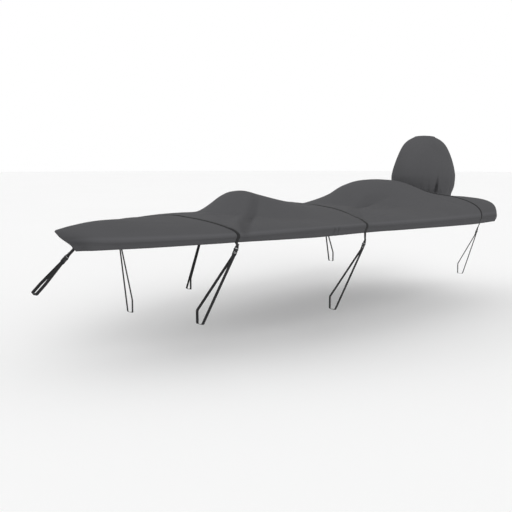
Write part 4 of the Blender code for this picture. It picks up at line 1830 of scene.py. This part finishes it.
@dataclass
class Webbing:
    """A flat woven band, laid along pairs of edge points."""

    width: float = WEBBING_WIDTH
    thickness: float = WEBBING
    across: int = 6
    # points at each end that stay flat, and points over which the crown then grows
    flat_points: int = 14
    growing_points: int = 10
    edge_radius: float = 0.0005
    edge_segments: int = 2
    edge_degrees: float = 60.0
    merge_distance: float = 1e-6

    def band(
        self,
        first: list[Vector],
        second: list[Vector],
        name: str,
        finish: Material,
        replaces: Iterable[str],
        outward: Callable[[Vector], Vector],
        closed: bool = False,
        crown: float = 0.0,
    ) -> Object:
        """Builds a band between two rows of points and thickens it outwards.

        Args:
            first: points of one edge.
            second: points of the other edge.
            name: the piece's name.
            finish: its material.
            replaces: CAD nodes that it stands for.
            outward: gives the direction, at a face's middle, that the thickness grows in.
            closed: whether the last points join the first ones.
            crown: how far its middle stands above its edges.

        Returns:
            The band's object.
        """
        if closed:
            first, second = [*first, first[0]], [*second, second[0]]
        count = len(first)
        rises = []
        for row in range(count):
            inside = min(row, count - 1 - row) - self.flat_points
            grown = smoothstep(inside / self.growing_points)
            rises.append(band_normal(first, second, row) * crown * grown)
        shares = [column / self.across for column in range(self.across + 1)]
        lattice = Lattice(count, len(shares))
        lattice.lay(
            lambda row, column: first[row].lerp(second[row], shares[column])
            + rises[row] * (1 - (2 * shares[column] - 1) ** 2)
        )
        mesh = lattice.mesh
        if closed:
            bmesh.ops.remove_doubles(mesh, verts=mesh.verts, dist=self.merge_distance)
        bmesh.ops.recalc_face_normals(mesh, faces=mesh.faces)
        mesh.normal_update()
        votes = sum(
            face.normal.dot(outward(face.calc_center_median())) * face.calc_area()
            for face in mesh.faces
        )
        if votes < 0:
            bmesh.ops.reverse_faces(mesh, faces=mesh.faces)
        made = finish_piece(mesh, name, finish, replaces)
        thicken(made, self.thickness, 1)
        bevel = made.modifiers.new("rolled_edges", "BEVEL")
        bevel.affect = "EDGES"
        bevel.width = self.edge_radius
        bevel.segments = self.edge_segments
        bevel.profile = 0.5
        bevel.limit_method = "ANGLE"
        bevel.angle_limit = math.radians(self.edge_degrees)
        bevel.material = -1
        return made


# An edge of a buckle's part is rounded where its faces turn by more than this, in radians.
SHARP_TURN = 0.6


def make_solid(
    mesh: BMesh, thickness: float, rounding: float, segments: int
) -> None:
    """Grows flat faces along Y to a solid and rounds its sharp edges.

    Args:
        mesh: the flat faces' bmesh.
        thickness: how far they grow.
        rounding: how far the edges are rounded.
        segments: faces over each rounded edge.
    """
    grown = new_points(bmesh.ops.extrude_face_region(mesh, geom=mesh.faces[:]))
    bmesh.ops.translate(mesh, vec=(0, thickness, 0), verts=grown)
    bmesh.ops.recalc_face_normals(mesh, faces=mesh.faces)
    sharp = [
        edge for edge in mesh.edges
        if len(edge.link_faces) == 2 and edge.calc_face_angle(0.0) > SHARP_TURN
    ]
    bmesh.ops.bevel(
        mesh, geom=sharp, offset=rounding, segments=segments, profile=0.5, affect="EDGES",
        material=-1,
    )


@dataclass(frozen=True)
class Plate:
    """A flat plate of a buckle, on lines across and along it, with some cells left open.

    Openings are cells by column and row. Lines are metres from the buckle's middle.
    """

    across: tuple[float, ...]
    along: tuple[float, ...]
    openings: tuple[tuple[int, int], ...]
    thick: float
    rounding: float
    segments: int = 3

    def build(self) -> BMesh:
        """Makes the plate.

        Returns:
            Its bmesh.
        """
        columns, rows = len(self.across) - 1, len(self.along) - 1
        mesh = bmesh.new()
        bmesh.ops.create_grid(mesh, x_segments=columns, y_segments=rows, size=1.0)
        open_cells = []
        for face in mesh.faces:
            middle = face.calc_center_median()
            cell = (int((middle.x + 1) * columns / 2), int((middle.y + 1) * rows / 2))
            if cell in self.openings:
                open_cells.append(face)
        for vertex in mesh.verts:
            column = round((vertex.co.x + 1) * columns / 2)
            row = round((vertex.co.y + 1) * rows / 2)
            vertex.co = Vector((self.across[column], -self.thick / 2, self.along[row]))
        bmesh.ops.delete(mesh, geom=open_cells, context="FACES")
        make_solid(mesh, self.thick, self.rounding, self.segments)
        return mesh


BUCKLE_PLATES = (
    # the housing, waisted where the prongs bow out through its sides
    Plate(
        (-0.0190, -0.0128, -0.0055, 0.0055, 0.0128, 0.0190),
        (-0.0075, -0.0045, 0.0085, 0.0150, 0.0185), ((0, 1), (4, 1)), 0.0130, 0.0016,
    ),
    # the bar frame that the strap over the cover goes round
    Plate(
        (-0.0170, -0.0135, 0.0135, 0.0170), (0.0170, 0.0215, 0.0285, 0.0330), ((1, 1),),
        0.0064, 0.0012,
    ),
    # the tail's shoulder and the two bars that the loop's webbing goes round
    Plate(
        (-0.0190, -0.0135, 0.0135, 0.0190),
        (-0.0330, -0.0295, -0.0240, -0.0205, -0.0155, -0.0095), ((1, 1), (1, 3)),
        0.0064, 0.0012,
    ),
)


@dataclass(frozen=True)
class StrapEnd:
    """Where a strap reaches its buckle, on the strap's inner face, and its directions there."""

    name: str
    top: Vector
    down: Vector
    across: Vector
    outward: Vector

    @property
    def middle(self) -> Vector:
        """The same place in the middle of the webbing."""
        return self.top + self.outward * 0.5 * WEBBING


@dataclass
class ReleaseBuckle:
    """A side-release buckle: a housing with two side windows, a pronged tail and two bars.

    Its own frame has X across the webbing, Z up along it and Y out of its face.
    """

    along: float = 0.066
    thick: float = 0.013
    air: float = 0.0004
    prong_steps: int = 10
    prong_foot: float = -0.011
    prong_length: float = 0.021
    prong_out: float = 0.0150
    prong_bow: float = 0.0034
    prong_bow_power: float = 0.8
    prong_width: float = 0.0038
    prong_thick: float = 0.0068
    prong_rounding: float = 0.0008
    prong_segments: int = 2
    sharp_degrees: float = 35.0

    def prong(self, side: float) -> BMesh:
        """One springy side prong, bowed out through the housing's window.

        Args:
            side: -1 or 1 across the webbing.

        Returns:
            Its bmesh.
        """
        mesh = bmesh.new()
        bmesh.ops.create_grid(mesh, x_segments=1, y_segments=self.prong_steps, size=1.0)
        for vertex in mesh.verts:
            share = (vertex.co.y + 1) / 2
            out = self.prong_out + self.prong_bow * (
                math.sin(math.pi * share) ** self.prong_bow_power
            )
            if vertex.co.x < 0:
                out -= self.prong_width
            height = self.prong_foot + self.prong_length * share
            vertex.co = Vector((side * out, -self.prong_thick / 2, height))
        make_solid(mesh, self.prong_thick, self.prong_rounding, self.prong_segments)
        return mesh

    def build(self, end: StrapEnd, finish: Material) -> Object:
        """Builds the buckle that runs on down from a strap's end.

        Args:
            end: the strap's end.
            finish: the buckle's material.

        Returns:
            The buckle's object.
        """
        whole = bmesh.new()
        for shell in [plate.build() for plate in BUCKLE_PLATES] + [self.prong(1), self.prong(-1)]:
            part = bpy.data.meshes.new("buckle_shell")
            shell.to_mesh(part)
            shell.free()
            whole.from_mesh(part)
            bpy.data.meshes.remove(part)
        up = -end.down
        face = up.cross(end.across).normalized()
        seat = Matrix((end.across, face, up)).transposed().to_4x4()
        seat.translation = end.middle + end.down * (self.air + self.along / 2)
        bmesh.ops.transform(whole, matrix=seat, verts=whole.verts)
        bmesh.ops.recalc_face_normals(whole, faces=whole.faces)
        name = f"buckle_{end.name}"
        return finish_piece(
            whole, f"{name}_side_release", finish, [name], self.sharp_degrees
        )


@dataclass(frozen=True)
class StrapPlan:
    """Where a strap over the cover runs and ends.

    Points are station, distance out and height. The bar is what its loop goes round.
    """

    name: str
    station: float
    buckle_top: Triple
    buckle_foot: Triple
    bar: Triple


STRAP_PLANS = (
    StrapPlan("fore", 1.165, (1.170, 0.645, 0.906), (1.145, 0.625, 0.823), (1.030, 0.390, 0.355)),
    StrapPlan("mid", 2.96, (2.527, 0.940, 0.848), (2.479, 0.915, 0.723), (2.205, 0.832, 0.350)),
    StrapPlan("aft", 4.79, (4.764, 0.975, 0.795), (4.752, 0.956, 0.720), (4.690, 0.830, 0.370)),
)


@dataclass(frozen=True)
class Finishes:
    """The materials of the tie-downs."""

    webbing: Material
    buckle: Material
    thread: Material


@dataclass
class TieDowns:
    """The straps over the cover, the bow strap, their buckles and the loops below them."""

    shape: CoverShape
    finishes: Finishes
    webbing: Webbing = field(default_factory=Webbing)
    buckle: ReleaseBuckle = field(default_factory=ReleaseBuckle)
    strap_lift: float = 0.0002
    strap_crown: float = 0.0035
    least_sharpness: float = 0.7
    # how far a strap's outward direction turns to the side for each metre from the middle
    side_turn: float = 0.3
    # out of the buckle's middle plane and up from its top, for the strap's inner face
    strap_turn: tuple[Pair, ...] = (
        (-0.0010, 0.0120), (0.0008, 0.0065), (0.0034, 0.0012), (0.0034, -0.0042),
        (0.0026, -0.0064), (0.0010, -0.0072), (-0.0010, -0.0072), (-0.0026, -0.0064),
        (-0.0034, -0.0042), (-0.0034, 0.0012), (-0.0022, 0.0065), (-0.0012, 0.0120),
        (-0.0012, 0.0265),
    )
    # out of the middle plane and up from the buckle's foot, for the loop round the tail's bar
    loop_turn: tuple[Pair, ...] = (
        (-0.0034, 0.0090), (-0.0026, 0.0136), (-0.0010, 0.0146), (0.0010, 0.0146),
        (0.0026, 0.0136), (0.0034, 0.0090),
    )
    stitch_box: Triple = (0.0130, 0.0255, 0.0095)
    stitch_pitch: float = 0.0032
    stitch_share: float = 0.72
    stitch_radius: float = 0.0004
    stitch_lift: float = 0.0001
    stitch_sides: int = 6
    stitch_degrees: float = 40.0
    bar_half_width: float = 0.027
    bar_half_height: float = 0.052
    bar_corner: float = 0.010
    corner_steps: int = 8
    bar_reach: float = 0.15
    # a corner of a loop's path is left out where the band would turn outwards there
    slack_turn: float = -1e-9
    half_columns: int = 60
    crowding: float = 1.8
    skirt_steps: int = 8
    bow_sewn_height: float = 0.936
    bow_sewn_length: float = 0.02
    bow_air: float = 0.0006
    bow_steps: int = 10
    bow_turn_from: float = 0.014
    bow_buckle_top: Pair = (0.090, 0.893)
    bow_post: Pair = (-0.165, 0.692)
    bow_post_half: Pair = (0.025, 0.048)

    def strap_edges(self, station: float) -> tuple[list[Vector], list[Vector]]:
        """The two rows of cloth points under a strap.

        Args:
            station: the strap's station.

        Returns:
            The forward and the aft row, from the port hem to the starboard hem.
        """
        shares = crowded_shares(self.half_columns, self.crowding)
        drops = [i / self.skirt_steps for i in range(1, self.skirt_steps + 1)]
        rows = []
        for row in (station - 0.5 * self.webbing.width, station + 0.5 * self.webbing.width):
            port = [self.shape.skirt(row, Side.PORT, drop) for drop in reversed(drops)]
            starboard = [self.shape.skirt(row, Side.STARBOARD, drop) for drop in drops]
            rows.append(port + [self.shape.top(row, share) for share in shares] + starboard)
        return rows[0], rows[1]

    def lifted(
        self, first: list[Vector], second: list[Vector]
    ) -> tuple[list[Vector], list[Vector]]:
        """Raises two rows off the cloth along the strap's own normals.

        Args:
            first: points of one edge.
            second: points of the other edge.

        Returns:
            The raised rows.
        """
        raised: tuple[list[Vector], list[Vector]] = ([], [])
        for i, (one, other) in enumerate(zip(first, second)):
            normal = band_normal(first, second, i)
            bend_in = (one - first[max(i - 1, 0)]).normalized()
            bend_out = (first[min(i + 1, len(first) - 1)] - one).normalized()
            half_turn = math.sqrt(max(0.0, (1 + bend_in.dot(bend_out)) / 2))
            lift = normal * self.strap_lift / max(self.least_sharpness, half_turn)
            for row, point in zip(raised, (one, other)):
                row.append(point + lift)
        return raised

    def taut_path(
        self, start: Vector, split: Vector, bar: Vector, lateral: Vector, upright: Vector
    ) -> list[Vector]:
        """Corners of a band drawn tight from two points either side of start round a bar.

        Args:
            start: middle of the band's top.
            split: from there to one of its two top corners.
            bar: the bar's middle.
            lateral: the bar's half width as a vector.
            upright: the bar's half height as a vector.

        Returns:
            The corners in order, from one top corner to the other.
        """
        path = [
            start + split, bar + lateral + upright, bar + lateral - upright,
            bar - lateral - upright, bar - lateral + upright, start - split,
        ]
        plane = (lateral.normalized(), upright.normalized())
        flat = [Vector([(point - bar).dot(axis) for axis in plane]) for point in path]
        taut = False
        while not taut:
            taut = True
            for i in range(1, len(path) - 1):
                turn = (flat[i] - flat[i - 1]).cross(flat[i + 1] - flat[i])
                if turn > self.slack_turn:
                    del path[i], flat[i]
                    taut = False
                    break
        return path

    def rounded(self, points: list[Vector]) -> list[Vector]:
        """A path with each corner but the first and last turned into an arc.

        Args:
            points: the path's corners.

        Returns:
            The rounded path.
        """
        path = [points[0]]
        for before, corner, after in zip(points, points[1:], points[2:]):
            entry = corner + (before - corner).normalized() * self.bar_corner
            leave = corner + (after - corner).normalized() * self.bar_corner
            for step in range(self.corner_steps + 1):
                u = step / self.corner_steps
                path.append(entry * (1 - u) ** 2 + corner * 2 * u * (1 - u) + leave * u * u)
        return [*path, points[-1]]

    def turned_end(self, end: StrapEnd) -> list[Vector]:
        """The strap's end where it goes round the buckle's top bar and is sewn to itself.

        Args:
            end: the strap's end.

        Returns:
            Middle points of the inner face, in order.
        """
        return [
            end.top + end.outward * (out + 0.5 * WEBBING) - end.down * up
            for out, up in self.strap_turn
        ]

    def box_stitch(self, end: StrapEnd) -> None:
        """A square of stitches with a cross in it, where a strap's end is sewn to itself.

        Args:
            end: the strap's end.
        """
        low, high, half = self.stitch_box
        corner = [(-half, low), (half, low), (half, high), (-half, high)]
        lines = [
            *zip(corner, corner[1:] + corner[:1]), (corner[0], corner[2]), (corner[1], corner[3]),
        ]
        mesh = bmesh.new()
        face = end.top + end.outward * (WEBBING + self.stitch_lift)
        for line in lines:
            start, stop = (face + end.across * x - end.down * z for x, z in line)
            along = stop - start
            count = max(2, round(along.length / self.stitch_pitch))
            turn = along.to_track_quat("Z", "Y").to_matrix().to_4x4()
            for i in range(count):
                middle = start.lerp(stop, (i + 0.5) / count)
                bmesh.ops.create_cone(
                    mesh, cap_ends=True, segments=self.stitch_sides,
                    radius1=self.stitch_radius, radius2=self.stitch_radius,
                    depth=self.stitch_share * along.length / count,
                    matrix=Matrix.Translation(middle) @ turn,
                )
        finish_piece(
            mesh, f"box_stitch_{end.name}", self.finishes.thread, (),
            self.stitch_degrees,
        )

    def clasp(self, end: StrapEnd, bar: Vector, lateral: Vector, upright: Vector) -> None:
        """Builds the buckle at a strap's end, and the loop from there round a bar.

        Args:
            end: the strap's end.
            bar: the bar's middle.
            lateral: the bar's half width as a vector.
            upright: the bar's half height as a vector.
        """
        self.buckle.build(end, self.finishes.buckle)
        down, across = end.down, end.across
        foot = end.middle + down * (2 * self.buckle.air + self.buckle.along)
        split = down.cross(across).normalized() * (0.5 * self.buckle.thick - WEBBING)
        if split.dot(lateral) < 0:
            split = -split
        path = self.rounded(self.taut_path(foot + down * WEBBING, split, bar, lateral, upright))
        front = split.normalized()
        path += [foot + front * out - down * up for out, up in self.loop_turn]
        half = across * self.webbing.width / 2
        middle = sum(path, Vector()) / len(path)
        self.webbing.band(
            [point - half for point in path], [point + half for point in path],
            f"loop_{end.name}_webbing", self.finishes.webbing, [f"loop_{end.name}"],
            lambda point: point - (bar if (point - bar).length < self.bar_reach else middle),
            closed=True,
        )

    def over_top(self, plan: StrapPlan) -> None:
        """Builds one strap over the cover, with the buckle and loop at each of its two ends.

        Args:
            plan: where it runs and ends.
        """
        rows = self.lifted(*self.strap_edges(plan.station))
        ends = []
        for side, last in ((Side.PORT, 0), (Side.STARBOARD, -1)):
            top, foot, bar = (
                place(point[0], side.value * point[1], point[2])
                for point in (plan.buckle_top, plan.buckle_foot, plan.bar)
            )
            down = (foot - top).normalized()
            across = rows[1][last] - rows[0][last]
            across = (across - down * across.dot(down)).normalized()
            face = down.cross(across)
            outward = face if face.y * side.value > 0 else -face
            ends.append(StrapEnd(f"{plan.name}_{side.word}", top, down, across, outward))
            self.box_stitch(ends[-1])
            lateral = Vector((0, side.value * self.bar_half_width, 0))
            self.clasp(ends[-1], bar, lateral, Vector((0, 0, self.bar_half_height)))
        for row, half in zip(rows, (-self.webbing.width / 2, self.webbing.width / 2)):
            port, starboard = (
                [point + end.across * half for point in self.turned_end(end)] for end in ends
            )
            row[:] = [*reversed(port), *row, *starboard]
        self.webbing.band(
            *rows, f"strap_{plan.name}_webbing", self.finishes.webbing, [f"strap_{plan.name}"],
            lambda point: Vector((0, point.y * self.side_turn, 1.0)), crown=self.strap_crown,
        )

    def bow(self) -> None:
        """Builds the strap on the stem, on edge in the centre plane, its buckle and its loop."""
        height, lower = self.bow_sewn_height, self.bow_sewn_height - self.bow_sewn_length
        sewn = place(self.shape.stem_shift(0, height), 0, height)
        stem = (place(self.shape.stem_shift(0, lower), 0, lower) - sewn).normalized()
        sewn += Vector((stem.z, 0, -stem.x)) * self.bow_air
        top, post = (place(x, 0, z) for x, z in (self.bow_buckle_top, self.bow_post))
        down = (post - top).normalized()
        across = Vector((down.z, 0, -down.x))
        if across.dot(stem) < 0:
            across = -across
        half = self.webbing.width / 2
        face = down.cross(across)
        end = StrapEnd("bow", top - face * 0.5 * WEBBING, down, across, face)
        turn_from = end.top - down * self.bow_turn_from
        sewn -= face * 0.5 * WEBBING
        first, second = [], []
        for share in (i / self.bow_steps for i in range(self.bow_steps)):
            middle = sewn.lerp(turn_from, share)
            lean = stem.lerp(across, smoothstep(share)).normalized()
            first.append(middle - lean * half)
            second.append(middle + lean * half)
        for point in self.turned_end(end):
            first.append(point - across * half)
            second.append(point + across * half)
        self.box_stitch(end)
        self.webbing.band(
            first, second, "strap_bow_webbing", self.finishes.webbing, ["strap_bow"],
            lambda point: face,
        )
        lateral = Vector((0, self.bow_post_half[0], 0))
        self.clasp(end, post, lateral, -down * self.bow_post_half[1])

    def build(self) -> None:
        """Builds every strap with its buckles and loops."""
        for plan in STRAP_PLANS:
            self.over_top(plan)
        self.bow()


@dataclass(frozen=True)
class Studio:
    """Camera, floor and soft light."""

    camera_at: Triple = (-6.230, -4.663, 0.4611)
    heading_degrees: float = 38.607
    pitch_degrees: float = 7.192
    lens: float = 58.69
    sensor: float = 36.0
    far: float = 200.0
    floor_size: float = 60.0
    floor_sides: int = 64
    sky: str = "FFFFFF"
    sky_strength: float = 1.0
    fill_strength: float = 0.70
    ground_share: float = 0.85
    horizon: float = 0.15
    key_from: Triple = (-0.52, -0.72, 0.46)
    key_strength: float = 1.36
    side_from: Triple = (-0.55, 0.80, 0.25)
    side_strength: float = 0.85
    softness_degrees: float = 45.0

    def camera(self) -> None:
        """Makes the camera at the photograph's viewing angle."""
        data = bpy.data.cameras.new("camera")
        data.lens = self.lens
        data.sensor_width = self.sensor
        data.clip_end = self.far
        made = bpy.data.objects.new("camera", data)
        heading, pitch = math.radians(self.heading_degrees), math.radians(self.pitch_degrees)
        level = math.cos(pitch)
        look = Vector((math.cos(heading) * level, math.sin(heading) * level, -math.sin(pitch)))
        made.location = self.camera_at
        made.rotation_euler = look.to_track_quat("-Z", "Y").to_euler()
        bpy.context.scene.collection.objects.link(made)
        bpy.context.scene.camera = made

    def floor(self, finish: Material) -> None:
        """Makes the plain pale floor, at the ground.

        Args:
            finish: its material.
        """
        mesh_maker = bmesh.new()
        bmesh.ops.create_circle(
            mesh_maker, cap_ends=True, segments=self.floor_sides, radius=self.floor_size
        )
        bmesh.ops.translate(mesh_maker, vec=(0, 0, -ORIGIN_HEIGHT), verts=mesh_maker.verts)
        mesh = bpy.data.meshes.new("studio_floor")
        mesh_maker.to_mesh(mesh)
        mesh_maker.free()
        mesh.materials.append(finish)
        made = bpy.data.objects.new("studio_floor", mesh)
        made.visible_diffuse = False  # its glare would light the skirts from below
        bpy.context.scene.collection.objects.link(made)

    def lamp(self, name: str, source: Triple, strength: float) -> None:
        """Makes one soft light.

        Args:
            name: the light's name.
            source: direction that it shines from.
            strength: how strong it is.
        """
        data = bpy.data.lights.new(name, "SUN")
        data.energy = strength
        data.angle = math.radians(self.softness_degrees)
        made = bpy.data.objects.new(name, data)
        made.rotation_euler = (-Vector(source)).to_track_quat("-Z", "Y").to_euler()
        bpy.context.scene.collection.objects.link(made)

    def light(self) -> None:
        """Makes the white surroundings, their even fill and the two soft lights."""
        world = bpy.data.worlds.new("studio")
        world.use_nodes = True
        tree = world.node_tree
        background = tree.nodes["Background"]
        background.inputs["Color"].default_value = linear_colour(self.sky)
        direction = add_node(tree, "TexCoord", output="Generated")
        upward = add_node(tree, "SeparateXYZ", None, {"Vector": direction}, "Z")
        fill = add_node(
            tree, "MapRange", None,
            {"Value": upward, "From Min": -self.horizon, "From Max": self.horizon,
             "To Min": self.ground_share * self.fill_strength, "To Max": self.fill_strength},
        )
        seen = add_node(tree, "LightPath", output="Is Camera Ray")
        strength = add_node(
            tree, "MapRange", None, {"Value": seen, "To Min": fill, "To Max": self.sky_strength}
        )
        tree.links.new(strength, background.inputs["Strength"])
        scene = bpy.context.scene
        scene.world = world
        self.lamp("key", self.key_from, self.key_strength)
        self.lamp("side", self.side_from, self.side_strength)
        scene.view_settings.view_transform = "Standard"
        scene.view_settings.look = "None"
        scene.view_settings.exposure = 0.0
        scene.view_settings.gamma = 1.0


def main() -> None:
    """Builds every sub-assembly in order and reports each piece."""
    logging.basicConfig(level=logging.INFO, format="%(name)s: %(message)s")
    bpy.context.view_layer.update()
    studio = Studio()
    studio.camera()
    studio.floor(PaleFloor().make())
    studio.light()
    cloth = CoatedPolyester().make()
    finishes = Finishes(
        PolypropyleneWebbing().make(), MouldedAcetal().make(), SewingThread().make()
    )
    shape = CoverShape()
    FittedCover(shape).build(cloth)
    MotorHood(shape).build(cloth)
    TieDowns(shape, finishes).build()
    bpy.context.view_layer.update()
    LOG.info("size written")


if __name__ == "__main__":
    main()
